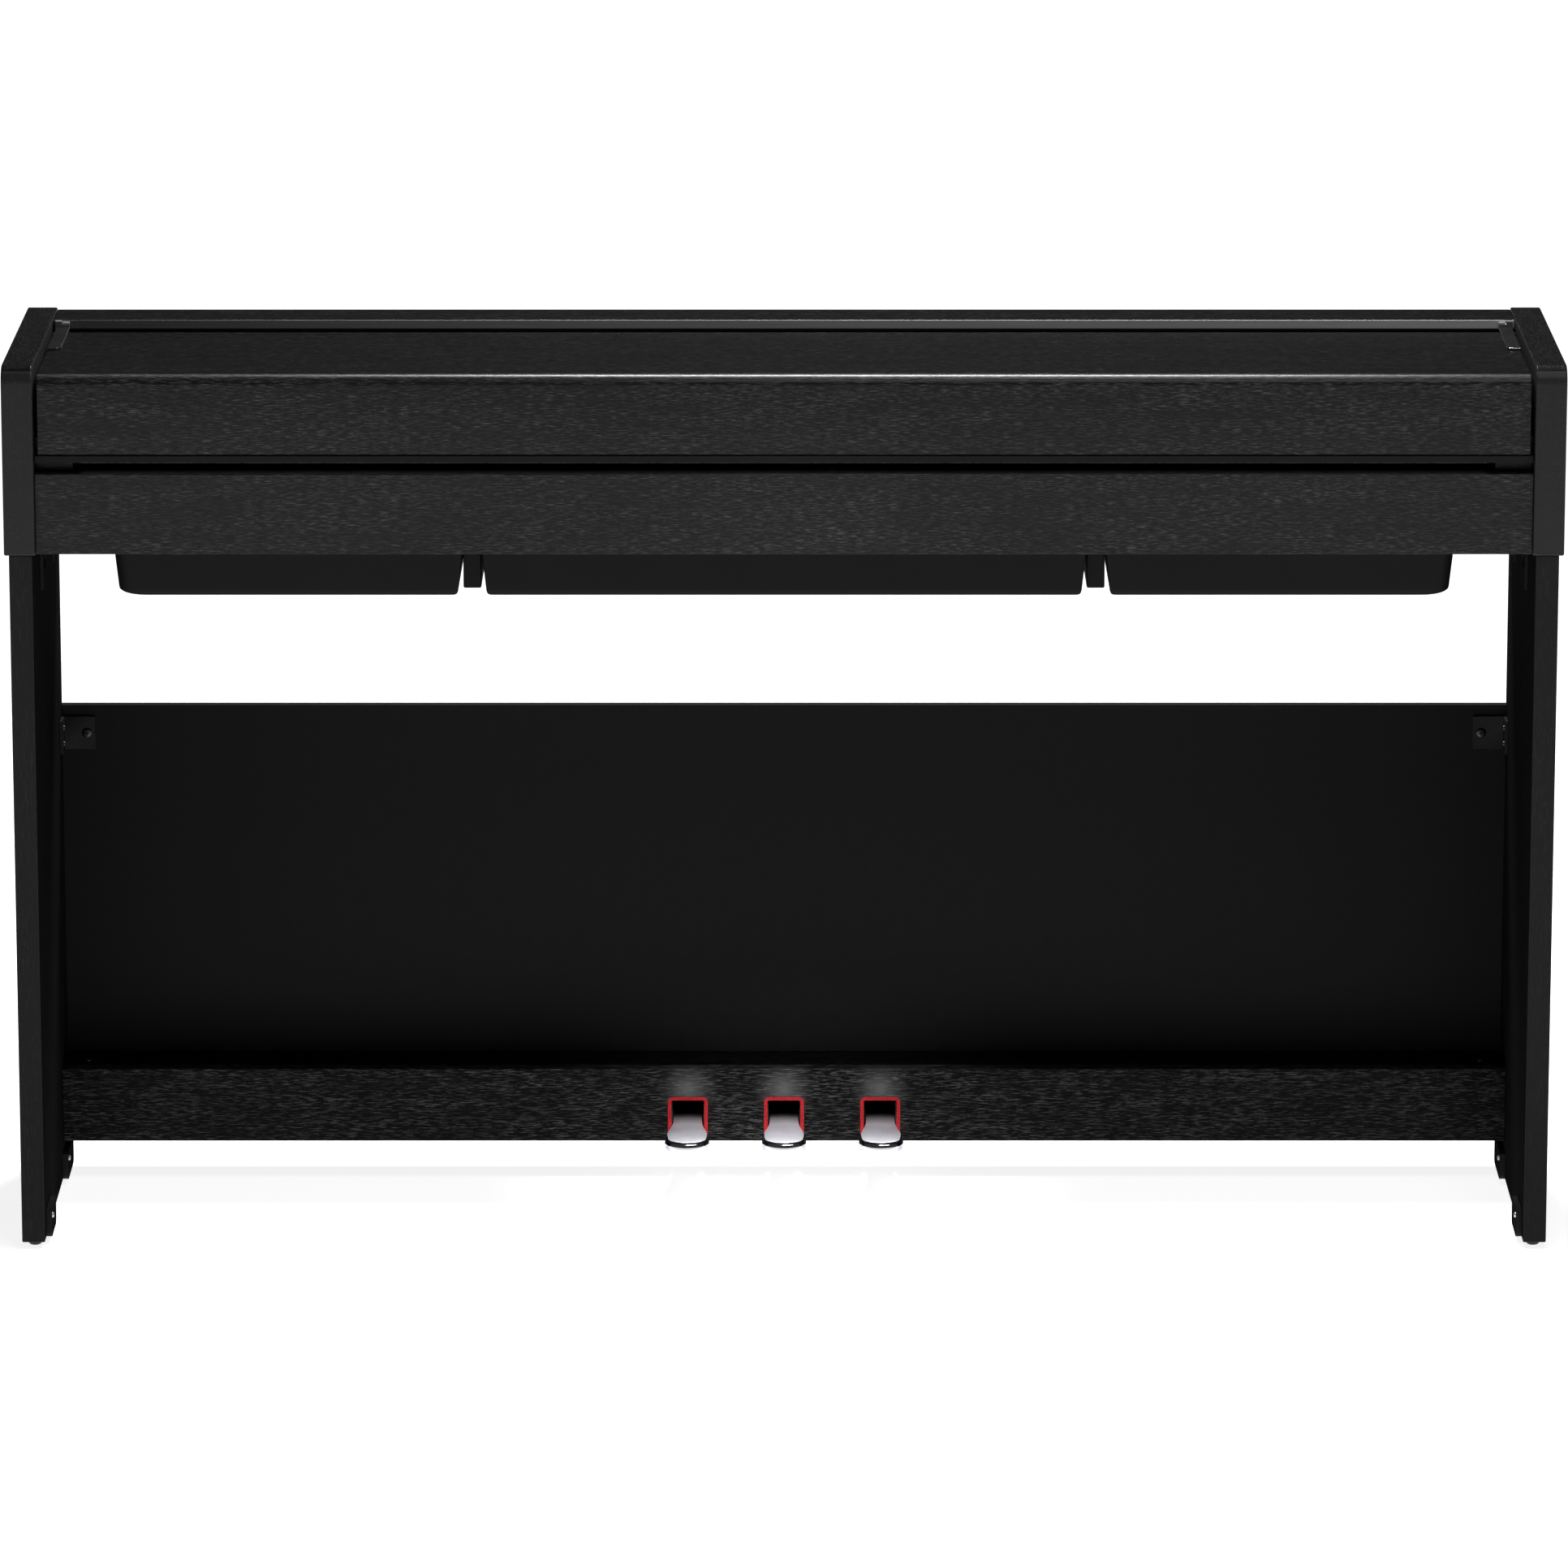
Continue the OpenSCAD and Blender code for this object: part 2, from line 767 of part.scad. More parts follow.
module foot_brackets() {
    corner = 5;
    hole_in = 14;
    hole_up = 9;
    hole_r = 2;
    color(dark_grey) both_sides() for (p = foot_plates) difference() {
        side_profile(leg_inner - foot_plate_t, leg_inner) polygon(concat(
            [[p[1], foot_plate_z[1]], [p[0], foot_plate_z[1]]],
            arc(p[0] + corner, foot_plate_z[0] + corner, corner, 180, 270),
            arc(p[1] - corner, foot_plate_z[0] + corner, corner, 270, 360)
        ));
        for (hole_y = [p[0] + hole_in, p[1] - hole_in])
            bar(leg_inner - foot_plate_t - eps, leg_inner + eps, hole_y, foot_plate_z[0] + hole_up,
                hole_r);
    }
}

// Angle plates that hang the case on the legs
leg_bracket_y = [[80, 123], [body_d - 90, body_d - 47]];

module leg_brackets() {
    drop = 47;
    reach = 30;
    hole_r = 9;
    color(dark_grey) both_sides() for (p = leg_bracket_y) {
        difference() {
            block(leg_inner - bracket_t, leg_inner, p[0], p[1], case_bottom - drop, case_bottom);
            bar(leg_inner - bracket_t - eps, leg_inner + eps, (p[0] + p[1]) / 2, case_bottom - drop / 2,
                hole_r);
        }
        block(leg_inner - reach, leg_inner - bracket_t, p[0], p[1], case_bottom - bracket_t, case_bottom);
    }
}

// Angle plates between the backboard and the legs, near the backboard's top
corner_size = 30.5;
corner_z = backboard_top - 10 - corner_size;
corner_flange = 24;

module corner_brackets() {
    color(dark_grey) both_sides() {
        block(leg_inner - corner_size, leg_inner, backboard_front - bracket_t, backboard_front,
            corner_z, corner_z + corner_size);
        block(leg_inner - bracket_t, leg_inner, backboard_front - corner_flange,
            backboard_front - bracket_t, corner_z, corner_z + corner_size);
    }
}

screw_head_h = 1.8;
screw_head_r = 2.5;
cap_r = 4.5;

// A screw head on the inner side of a plate that lies against a leg
module leg_screw(plate_t, from_front, z) {
    bar(leg_inner - plate_t - screw_head_h, leg_inner - plate_t, from_front, z, screw_head_r);
}

// Heads of the screws in the brackets and in the rear cover, and the caps on the pedal box
module bracket_screws() {
    corner_screw_in = 23;
    cap_in = 21;
    cap_back = 30;
    edge = 8;
    cover_edge = 12;
    color(steel) both_sides() {
        translate([leg_inner - corner_screw_in, y(backboard_front - bracket_t), corner_z + corner_size / 2])
            rotate([90, 0, 0]) cylinder(r = cap_r, h = screw_head_h);
        for (z = [corner_z + edge, corner_z + corner_size - edge])
            leg_screw(bracket_t, backboard_front - corner_flange + edge, z);
        translate([leg_inner - cap_in, y(box_front + cap_back), box_top])
            cylinder(r = cap_r, h = screw_head_h);
        for (p = foot_plates) leg_screw(foot_plate_t, p[0] + 6, foot_plate_z[1] - 5);
        for (p = leg_bracket_y, from_front = [p[0] + edge, p[1] - edge])
            leg_screw(bracket_t, from_front, case_bottom - edge);
        for (part = [0.12, 0.52, 0.96], z = [case_bottom + cover_edge, rear_board_bottom - cover_edge])
            translate([arm_inner * part, y(rear_cover_back), z]) rotate([-90, 0, 0])
                cylinder(r = cap_r - 1, h = screw_head_h);
    }
}

// ---------- pedals ----------

// An opening for a pedal, open at the bottom; the felt follows it, inside by `in`
module slot_shape(in) {
    half = pedal_slot_w / 2 - in;
    top = slot_top - in;
    r = 4.5 - in;
    polygon(concat(
        [[-half, pedal_box_z - (in > 0 ? eps : 0)], [half, pedal_box_z - (in > 0 ? eps : 0)]],
        arc(half - r, top - r, r, 0, 90),
        arc(-half + r, top - r, r, 90, 180)
    ));
}

module slot_block(in, y0, y1) {
    translate([0, y(y1), 0]) rotate([90, 0, 0]) linear_extrude(y1 - y0) slot_shape(in);
}

module pedal_box_front() {
    color(black) difference() {
        block(-leg_inner, leg_inner, box_front, box_front + box_board_t, pedal_box_z, box_top);
        for (x = pedal_x) translate([x, 0, 0]) slot_block(0, box_front - eps, box_front + box_board_t + eps);
        for (x = pedal_x) block(x - pedal_slot_w / 2, x + pedal_slot_w / 2, box_front - eps,
            box_front + box_board_t + eps, pedal_box_z - eps, pedal_box_z + eps);
    }
}

module pedal_box_top() {
    color(black) block(-leg_inner, leg_inner, box_front + box_board_t, backboard_front,
        box_top - box_board_t, box_top);
}

module pedal_felts() {
    color(felt_red) for (x = pedal_x) translate([x, 0, 0]) difference() {
        slot_block(0, box_front, box_front + box_board_t);
        slot_block(felt_t, box_front - eps, box_front + box_board_t + eps);
    }
}

// A plate under the mechanism, with a pair of ears for each pedal and posts up to the top board
module pedal_bracket() {
    plate_half = pedal_pitch + 40;
    plate_t = 2;
    ear_half = 10;
    base = pedal_box_z + plate_t;
    color(steel) difference() {
        union() {
            block(-plate_half, plate_half, box_front + box_board_t, backboard_front, base,
                base + plate_t);
            for (x = pedal_x, side = [-1, 1]) {
                x0 = x + (side < 0 ? -pedal_ear_out : pedal_ear_in);
                block(x0, x0 + pedal_ear_t, pedal_axle_y - ear_half, pedal_axle_y + ear_half,
                    base, pedal_axle_z + ear_half);
            }
            for (side = [-1, 1]) block(side * plate_half - (side > 0 ? pedal_ear_t : 0),
                side * plate_half + (side > 0 ? 0 : pedal_ear_t), box_front + box_board_t,
                backboard_front, base, box_top - box_board_t);
        }
        bar(-plate_half - eps, plate_half + eps, pedal_axle_y, pedal_axle_z, pedal_axle_r);
    }
}

module pedal_axle() {
    color(steel) bar(-pedal_pitch - 44, pedal_pitch + 44, pedal_axle_y, pedal_axle_z, pedal_axle_r);
}

// One ring of six points, square to the wire, at an angle round the coil
function ring(turn) = [for (k = [0:5]) let (
        a = 360 * turn,
        r = spring_r + spring_wire / 2 * cos(60 * k))
    [spring_wire * 1.1 * turn + spring_wire / 2 * sin(60 * k), r * cos(a), r * sin(a)]];

// A torsion spring wound round the axle
module torsion_spring() {
    rings = spring_turns * spring_steps;
    points = [for (i = [0:rings]) each ring(i / spring_steps)];
    sides = [for (i = [0:rings - 1], k = [0:5]) [
        i * 6 + k, i * 6 + (k + 1) % 6, (i + 1) * 6 + (k + 1) % 6, (i + 1) * 6 + k]];
    ends = [[for (k = [5:-1:0]) k], [for (k = [0:5]) rings * 6 + k]];
    polyhedron(points, concat(sides, ends));
}

module pedal_springs() {
    color(steel) for (x = pedal_x)
        translate([x + pedal_ear_out + 1.5, y(pedal_axle_y), pedal_axle_z]) torsion_spring();
}

// Half of the pedal's width at a distance from its tip
flare_l = 60;
function pedal_half(s) =
    s < flare_l ? pedal_w / 2 - (pedal_w - pedal_neck_w) / 2 * (1 - cos(180 * s / flare_l)) / 2
                : pedal_neck_w / 2;

// Seen from above: a round tip, then a waist that narrows to the neck
module pedal_plan() {
    tip_r = pedal_w / 2;
    tip_l = 14;
    right = [for (i = [0:14]) [pedal_half(i * flare_l / 14), tip_l + i * flare_l / 14]];
    tip = [for (i = [0:16]) [tip_r * cos(180 + i * 11.25), tip_l + tip_l * sin(180 + i * 11.25)]];
    back = pedal_axle_y + 12 - pedal_tip;
    translate([0, y(pedal_tip)]) polygon(concat(
        tip, [for (i = [1:14]) right[i]], [[pedal_neck_w / 2, back], [-pedal_neck_w / 2, back]],
        [for (i = [14:-1:1]) [-right[i][0], right[i][1]]]
    ));
}

// Seen from the side: a flat plate whose tip curls down, and a thicker tail at the rod
module pedal_side() {
    t = pedal_tip;
    r = 9;
    polygon(concat(
        [[t, pedal_top - r - 2]],
        arc(t + r, pedal_top - r, r, 180, 90, 8),
        [[pedal_axle_y + 12, pedal_top], [pedal_axle_y + 12, pedal_top - 8],
         [pedal_axle_y - 12, pedal_top - 8], [pedal_axle_y - 18, pedal_top - pedal_metal]],
        arc(t + r, pedal_top - r, r - pedal_metal + 1, 90, 180, 8),
        [[t + pedal_metal - 1, pedal_top - r - 2]]
    ));
}

module pedal(x) {
    color(steel) translate([x, 0, 0]) difference() {
        union() {
            intersection() {
                translate([0, 0, pedal_top - 30]) linear_extrude(40) pedal_plan();
                side_profile(-pedal_w, pedal_w) pedal_side();
            }
            bar(-pedal_neck_w / 2, pedal_neck_w / 2, pedal_axle_y, pedal_axle_z, pedal_hub_r);
        }
        bar(-pedal_w, pedal_w, pedal_axle_y, pedal_axle_z, pedal_axle_r + turn_clear);
    }
}

module soft_pedal() { pedal(pedal_x[0]); }

module sostenuto_pedal() { pedal(pedal_x[1]); }

module damper_pedal() { pedal(pedal_x[2]); }

// ---------- nodes ----------

arm_left();
arm_right();
leg_left();
leg_right();
backboard();
rear_top_board();
keybed();
front_rail();
rear_cover();
filler_strip();
hinge_blocks();
hinge_pins();
speaker_box_left();
speaker_box_right();
middle_box();
bridge_panels();
speaker_drivers();
leg_brackets();
foot_brackets();
corner_brackets();
bracket_screws();
glides();
pedal_box_front();
pedal_box_top();
pedal_bracket();
pedal_felts();
pedal_axle();
pedal_springs();
key_frame();
key_axle();
key_felts();
key_blocks();
control_panel();
circuit_board();
power_inlet();
lid_bumpers();
lid();
hinge_leaves();
music_ledge();
flap_hinge_plates();
flap();
flap_lip();
flap_hinge_leaves();
power_button();
volume_knob();
soft_pedal();
sostenuto_pedal();
damper_pedal();
keys_c();
keys_c_sharp();
keys_d();
keys_d_sharp();
keys_e();
keys_f();
keys_f_sharp();
keys_g();
keys_g_sharp();
keys_a();
keys_a_sharp();
keys_b();
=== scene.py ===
# %% [markdown]
# # A slim cabinet piano, from a fixed frame to a finished picture
# The joiner's drawing is done before this file starts. Every board, bracket and key already has its
# size and its place, and the drawing loads as a frame that stays where it is. What is left is the
# finish: softened edges, grain, felt, plated pedals, and light to see them by.

# %% Load the frame
import json
import math

import bmesh
import bpy
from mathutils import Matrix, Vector


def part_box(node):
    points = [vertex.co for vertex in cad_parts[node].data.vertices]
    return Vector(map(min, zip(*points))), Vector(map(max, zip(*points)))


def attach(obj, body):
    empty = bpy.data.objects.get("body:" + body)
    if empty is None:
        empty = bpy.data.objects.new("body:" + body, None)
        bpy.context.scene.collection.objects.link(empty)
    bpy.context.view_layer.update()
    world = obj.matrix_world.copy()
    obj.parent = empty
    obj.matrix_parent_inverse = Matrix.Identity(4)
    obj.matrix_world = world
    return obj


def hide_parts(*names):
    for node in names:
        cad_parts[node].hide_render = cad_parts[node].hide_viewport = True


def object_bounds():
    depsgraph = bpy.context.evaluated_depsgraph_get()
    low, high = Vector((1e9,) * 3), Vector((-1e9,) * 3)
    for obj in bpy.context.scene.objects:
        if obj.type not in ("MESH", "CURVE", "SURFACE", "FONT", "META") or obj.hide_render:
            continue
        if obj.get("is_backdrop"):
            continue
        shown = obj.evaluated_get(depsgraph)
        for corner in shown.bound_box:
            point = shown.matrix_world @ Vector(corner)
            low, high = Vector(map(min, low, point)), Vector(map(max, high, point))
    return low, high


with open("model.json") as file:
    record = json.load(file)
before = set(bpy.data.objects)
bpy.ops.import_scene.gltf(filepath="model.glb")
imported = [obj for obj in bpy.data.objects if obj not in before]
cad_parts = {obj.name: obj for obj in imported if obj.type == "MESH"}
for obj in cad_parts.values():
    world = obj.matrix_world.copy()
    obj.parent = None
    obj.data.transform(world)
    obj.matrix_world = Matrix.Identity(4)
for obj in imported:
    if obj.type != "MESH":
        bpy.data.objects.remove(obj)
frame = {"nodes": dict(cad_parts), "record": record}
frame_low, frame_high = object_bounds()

MM = 0.001
scene = bpy.context.scene
record = frame["record"]
slot_of = {part["node"]: part["material_slot"] for part in record["subparts"]}
body_of = {node: body for body, nodes in record["behaviour"]["bodies"].items() for node in nodes}

# %% [markdown]
# ## The camera
# A long cabinet looks calm when it is seen from far away through a long lens, because its front and
# back edges then keep nearly the same length. The camera stands a little above the lid and looks
# down by about thirteen degrees, so that the lid, the front and the pedals all show at once.

# %% Camera
CAMERA_BACK = 7.703      # metres in front of the arms
CAMERA_HEIGHT = 2.209
CAMERA_DOWN = 13.056     # degrees below level
LENS = 208.2

camera = bpy.data.objects.new("camera", bpy.data.cameras.new("camera"))
scene.collection.objects.link(camera)
camera.data.sensor_width = 36
camera.data.lens = LENS
camera.data.clip_end = 100
camera.location = (0, frame_low.y - CAMERA_BACK, CAMERA_HEIGHT)
camera.rotation_euler = (math.radians(90 - CAMERA_DOWN), 0, 0)
scene.camera = camera
print("camera at", [round(v, 3) for v in camera.location])

# %% [markdown]
# ## The studio
# Black furniture is the hardest thing to light. Its colour gives back almost nothing, so what the
# eye reads is reflections. A long soft box above and behind draws the bright line along the rounded
# front edge, and a weaker one in front lifts the flat faces just enough to show their grain. A
# narrow lamp, aimed under the case, reaches the pedals. The room itself stays dim, so the lid does
# not turn grey, and only the backdrop is left white.

# %% Studio light
ROOM_LIGHT = 0.04
BACKDROP_LIGHT = 1.05
WHITE = (1, 1, 1, 1)


def world_light():
    world = bpy.data.worlds.new("studio")
    scene.world = world
    world.use_nodes = True
    nodes, links = world.node_tree.nodes, world.node_tree.links
    nodes.clear()
    out = nodes.new("ShaderNodeOutputWorld")
    mix = nodes.new("ShaderNodeMixShader")
    path = nodes.new("ShaderNodeLightPath")
    room = nodes.new("ShaderNodeBackground")
    room.inputs["Color"].default_value = WHITE
    room.inputs["Strength"].default_value = ROOM_LIGHT
    backdrop = nodes.new("ShaderNodeBackground")
    backdrop.inputs["Color"].default_value = WHITE
    backdrop.inputs["Strength"].default_value = BACKDROP_LIGHT
    links.new(path.outputs["Is Camera Ray"], mix.inputs[0])
    links.new(room.outputs[0], mix.inputs[1])
    links.new(backdrop.outputs[0], mix.inputs[2])
    links.new(mix.outputs[0], out.inputs["Surface"])


def put_on_stand(lamp, place, target):
    """Stands a lamp at a place, in metres, and turns it to face a target."""
    stand = bpy.data.objects.new(lamp.name, lamp)
    scene.collection.objects.link(stand)
    stand.location = place
    stand.rotation_euler = (Vector(target) - Vector(place)).to_track_quat("-Z", "Y").to_euler()


def soft_box(name, place, target, size, power):
    """A rectangular light; its power is in watts."""
    lamp = bpy.data.lights.new(name, "AREA")
    lamp.shape = "RECTANGLE"
    lamp.size, lamp.size_y = size
    lamp.energy = power
    put_on_stand(lamp, place, target)


def snooted_lamp(name, place, target, beam, power):
    """A lamp behind a tube, with a narrow beam in degrees and soft shadows."""
    lamp = bpy.data.lights.new(name, "SPOT")
    lamp.energy = power
    lamp.spot_size = math.radians(beam)
    lamp.spot_blend = 0.8
    lamp.shadow_soft_size = 0.12
    put_on_stand(lamp, place, target)


world_light()
soft_box("edge_light", place=(0.1, 0.95, 2.5), target=(0.05, -0.1, 0.78), size=(0.9, 0.4), power=96)
soft_box("top_light", place=(0.4, -0.25, 2.7), target=(0.1, 0, 0.78), size=(1.0, 0.3), power=10)
soft_box("front_light", place=(0.5, -1.5, 2.4), target=(0, 0, 0.4), size=(1.4, 0.6), power=12)
snooted_lamp("pedal_light", place=(0.05, -1.05, 2.0), target=(0, 0.02, 0.06), beam=9, power=330)
scene.view_settings.view_transform = "Standard"

# %% [markdown]
# ## The floor
# A plain pale floor is enough. It is a real sheet with a faint unevenness in its sheen, wide enough
# that its edge never comes into view. It glows a little, as a lit cove does, and more so far away,
# where the lamps no longer reach. Close by it glows less, so the feet still leave a soft shadow.

# %% Floor
FLOOR_HALF = 30.0
GLOW_NEAR = 0.86         # strength of the glow up to the first distance
GLOW_FAR = 1.02          # and from the second one on
GLOW_STARTS = 0.9        # metres from the middle of the floor
GLOW_ENDS = 3.0


def make_floor():
    mesh = bpy.data.meshes.new("floor")
    corners = [(-FLOOR_HALF, -FLOOR_HALF, 0), (FLOOR_HALF, -FLOOR_HALF, 0),
               (FLOOR_HALF, FLOOR_HALF, 0), (-FLOOR_HALF, FLOOR_HALF, 0)]
    mesh.from_pydata(corners, [], [(0, 1, 2, 3)])
    floor = bpy.data.objects.new("floor", mesh)
    scene.collection.objects.link(floor)
    material = bpy.data.materials.new("floor")
    material.use_nodes = True
    nodes, links = material.node_tree.nodes, material.node_tree.links
    shader = nodes["Principled BSDF"]
    shader.inputs["Base Color"].default_value = (0.8, 0.8, 0.8, 1)
    shader.inputs["Specular IOR Level"].default_value = 0.1
    shader.inputs["Emission Color"].default_value = WHITE
    coords = nodes.new("ShaderNodeTexCoord")
    reach = nodes.new("ShaderNodeVectorMath")
    reach.operation = "LENGTH"
    glow = nodes.new("ShaderNodeMapRange")
    glow.inputs["From Min"].default_value = GLOW_STARTS
    glow.inputs["From Max"].default_value = GLOW_ENDS
    glow.inputs["To Min"].default_value = GLOW_NEAR
    glow.inputs["To Max"].default_value = GLOW_FAR
    links.new(coords.outputs["Object"], reach.inputs[0])
    links.new(reach.outputs["Value"], glow.inputs["Value"])
    links.new(glow.outputs["Result"], shader.inputs["Emission Strength"])
    noise = nodes.new("ShaderNodeTexNoise")
    noise.inputs["Scale"].default_value = 2.0
    ramp = nodes.new("ShaderNodeMapRange")
    ramp.inputs["To Min"].default_value = 0.7
    ramp.inputs["To Max"].default_value = 0.85
    links.new(noise.outputs["Fac"], ramp.inputs["Value"])
    links.new(ramp.outputs["Result"], shader.inputs["Roughness"])
    mesh.materials.append(material)
    floor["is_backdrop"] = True


make_floor()

# %% [markdown]
# ## A small kit for finishes
# A finish is a recipe of nodes. Most recipes here need the same three steps: take the place on the
# object, stretch it so that a pattern runs along the grain, and turn the pattern into colour,
# roughness or height. These helpers hold those steps, so that each finish below stays short.

# %% Helpers for finishes
class Finish:
    """One material with a Principled shader and a few shorthand ways to add nodes to it."""

    def __init__(self, name, color=(0.5, 0.5, 0.5), roughness=0.5, **sockets):
        self.material = bpy.data.materials.new(name)
        self.material.use_nodes = True
        self.tree = self.material.node_tree
        self.shader = self.tree.nodes["Principled BSDF"]
        self.shader.inputs["Base Color"].default_value = (*color, 1)
        self.shader.inputs["Roughness"].default_value = roughness
        for socket, value in sockets.items():
            self.shader.inputs[socket.replace("_", " ")].default_value = value

    def add(self, kind, **inputs):
        node = self.tree.nodes.new(kind)
        for socket, value in inputs.items():
            node.inputs[socket.replace("_", " ")].default_value = value
        return node

    def link(self, source, target):
        self.tree.links.new(source, target)

    def place(self, scale):
        """The place on the object, stretched by a scale per metre along X, Y and Z."""
        coords = self.add("ShaderNodeTexCoord")
        mapping = self.add("ShaderNodeMapping", Scale=scale)
        self.link(coords.outputs["Object"], mapping.inputs["Vector"])
        return mapping.outputs["Vector"]

    def part_of_place(self, axis):
        """One coordinate of the place on the object, in metres."""
        coords = self.add("ShaderNodeTexCoord")
        parts = self.add("ShaderNodeSeparateXYZ")
        self.link(coords.outputs["Object"], parts.inputs[0])
        return parts.outputs[axis]

    def noise(self, scale, detail=3.0, roughness=0.5):
        node = self.add("ShaderNodeTexNoise", Scale=1.0, Detail=detail, Roughness=roughness)
        self.link(self.place(scale), node.inputs["Vector"])
        return node.outputs["Fac"]

    def spread(self, value, low, high, to_low, to_high):
        """Stretches a value's range onto another one."""
        node = self.add("ShaderNodeMapRange")
        node.inputs["From Min"].default_value = low
        node.inputs["From Max"].default_value = high
        node.inputs["To Min"].default_value = to_low
        node.inputs["To Max"].default_value = to_high
        self.link(value, node.inputs["Value"])
        return node.outputs["Result"]

    def math(self, operation, a, b):
        node = self.add("ShaderNodeMath")
        node.operation = operation
        for socket, value in zip(node.inputs, (a, b)):
            if hasattr(value, "is_linked"):
                self.link(value, socket)
            else:
                socket.default_value = value
        return node.outputs[0]

    def blend(self, amount, dark, light):
        """A colour between two, by an amount from 0 to 1."""
        node = self.add("ShaderNodeMix")
        node.data_type = "RGBA"
        node.inputs[6].default_value = (*dark, 1)
        node.inputs[7].default_value = (*light, 1)
        self.link(amount, node.inputs[0])
        return node.outputs[2]

    def bump(self, height, strength, distance):
        node = self.add("ShaderNodeBump", Strength=strength, Distance=distance)
        self.link(height, node.inputs["Height"])
        self.link(node.outputs["Normal"], self.shader.inputs["Normal"])

    def color(self, value):
        self.link(value, self.shader.inputs["Base Color"])

    def rough(self, value):
        self.link(value, self.shader.inputs["Roughness"])


def along(axis, length, width):
    """Scale of a grain that runs along an axis: streaks of one length and one width, in metres."""
    scale = [1 / width] * 3
    scale["XYZ".index(axis)] = 1 / length
    return tuple(scale)


# %% [markdown]
# ## Black wood foil
# The boards are faced with a printed and embossed foil. From a step away it is plain satin black;
# close to, short pale streaks lie along the grain, no thicker than a millimetre. Two noises make it:
# a fine, strongly stretched one gives the streaks, and a broad one decides where they gather. The
# same streaks are pressed into the surface, so they catch the light as well as the eye. Every board
# gets its own mix, as lit and shaded copies of one foil, because a face that is seen nearly edge-on,
# such as the lid, the tops of the arms or the insides of the legs, would mirror the white floor and
# turn grey. Those get a darker ground, which is painted shade, and mirror less. The low boards of
# the pedal box also get a darker ground, painted shade under the case. The foil in front of the pedals
# gets a painted glow above each pedal, standing in for light thrown up from the pedals.

# %% Wood foil
PEDAL_GLOW_RADIUS = 0.032       # metres
PEDAL_GLOW_MOST = 1.1           # how much paler the middle of a painted glow patch is
PEDAL_GLOW_HEIGHT = 0.088       # of the patches' middles above the floor


def add_painted_glow(finish, amount, places):
    """Adds a soft paler patch at each of a few places: a painted glow, standing in for light thrown up
    from the pedals.
    """
    for place in places:
        coords = finish.add("ShaderNodeTexCoord")
        reach = finish.add("ShaderNodeVectorMath")
        reach.operation = "DISTANCE"
        reach.inputs[1].default_value = place
        finish.link(coords.outputs["Object"], reach.inputs[0])
        glow_patch = finish.spread(reach.outputs["Value"], 0, PEDAL_GLOW_RADIUS, 1, 0)
        painted_glow_amount = finish.math("MULTIPLY", finish.math("POWER", glow_patch, 2.0), PEDAL_GLOW_MOST)
        amount = finish.math("ADD", amount, painted_glow_amount)
    return amount


def wood_foil(name, axis, ground, streak, strength=1.0, gloss=0.4, shine=0.22, wear_and_glow=()):
    """Gloss is the shader's roughness, and shine is how much the face mirrors."""
    finish = Finish(name, roughness=gloss, Specular_IOR_Level=shine)
    fine = finish.noise(along(axis, length=0.009, width=0.00085), detail=3.0, roughness=0.65)
    broad = finish.noise(along(axis, length=0.09, width=0.012), detail=2.0)
    gather = finish.spread(broad, 0.3, 0.7, 0.35, 1.0)
    lines = finish.spread(fine, 0.5, 0.78, 0.0, 1.0)
    amount = finish.math("MULTIPLY", finish.math("MULTIPLY", lines, gather), strength)
    amount = add_painted_glow(finish, amount, wear_and_glow)
    finish.color(finish.blend(amount, ground, streak))
    finish.rough(finish.spread(fine, 0.3, 0.8, gloss - 0.05, gloss + 0.1))
    pores = finish.noise(along(axis, length=0.004, width=0.0006), detail=1.0)
    finish.bump(finish.math("ADD", pores, finish.math("MULTIPLY", fine, 0.8)), 0.3, 0.0002)
    return finish.material


PALE_STREAK = (0.075, 0.075, 0.076)
PEDALS = ("soft_pedal", "sostenuto_pedal", "damper_pedal")
foil_along = wood_foil("foil_along", "X", (0.0064, 0.0064, 0.0066), PALE_STREAK, 1.5, gloss=0.31,
                       shine=0.17)
board_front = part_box("pedal_box_front")[0].y
pedal_glow_places = [((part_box(node)[0].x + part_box(node)[1].x) / 2, board_front, PEDAL_GLOW_HEIGHT)
                for node in PEDALS]
# The pedal box front's foil: a darker ground, as painted shade low under the case, plus a painted glow
# above each pedal.
foil_low_shade_and_glow = wood_foil("foil_low_shade_and_glow", "X", (0.0012, 0.0012, 0.0012), PALE_STREAK, 1.6, shine=0.05,
                     wear_and_glow=pedal_glow_places)
# The pedal box top's foil is darker still: painted shade under the keys.
foil_shelf_shaded = wood_foil("foil_shelf_shaded", "X", (0.001, 0.001, 0.001), PALE_STREAK, 0.2, gloss=0.7, shine=0.0)
foil_arm = wood_foil("foil_arm", "Y", (0.0115, 0.0115, 0.0117), PALE_STREAK, 0.4)
foil_leg = wood_foil("foil_leg", "Z", (0.0095, 0.0095, 0.0097), PALE_STREAK, 0.3, shine=0.1)
# The insides of the legs, the tops of the arms and the lid get darker grounds that mirror little:
# painted shade on faces seen nearly edge-on.
foil_leg_inner_shaded = wood_foil("foil_leg_inner_shaded", "Z", (0.006, 0.006, 0.0061), PALE_STREAK, 0.2, gloss=0.8,
                           shine=0.0)
foil_arm_top_shaded = wood_foil("foil_arm_top_shaded", "Y", (0.0034, 0.0034, 0.0035), PALE_STREAK, 0.35, gloss=0.27,
                         shine=0.04)
foil_lid_shaded = wood_foil("foil_lid_shaded", "X", (0.0028, 0.0028, 0.0029), PALE_STREAK, 0.35, gloss=0.27,
                     shine=0.025)
print("foils", [m.name for m in bpy.data.materials])
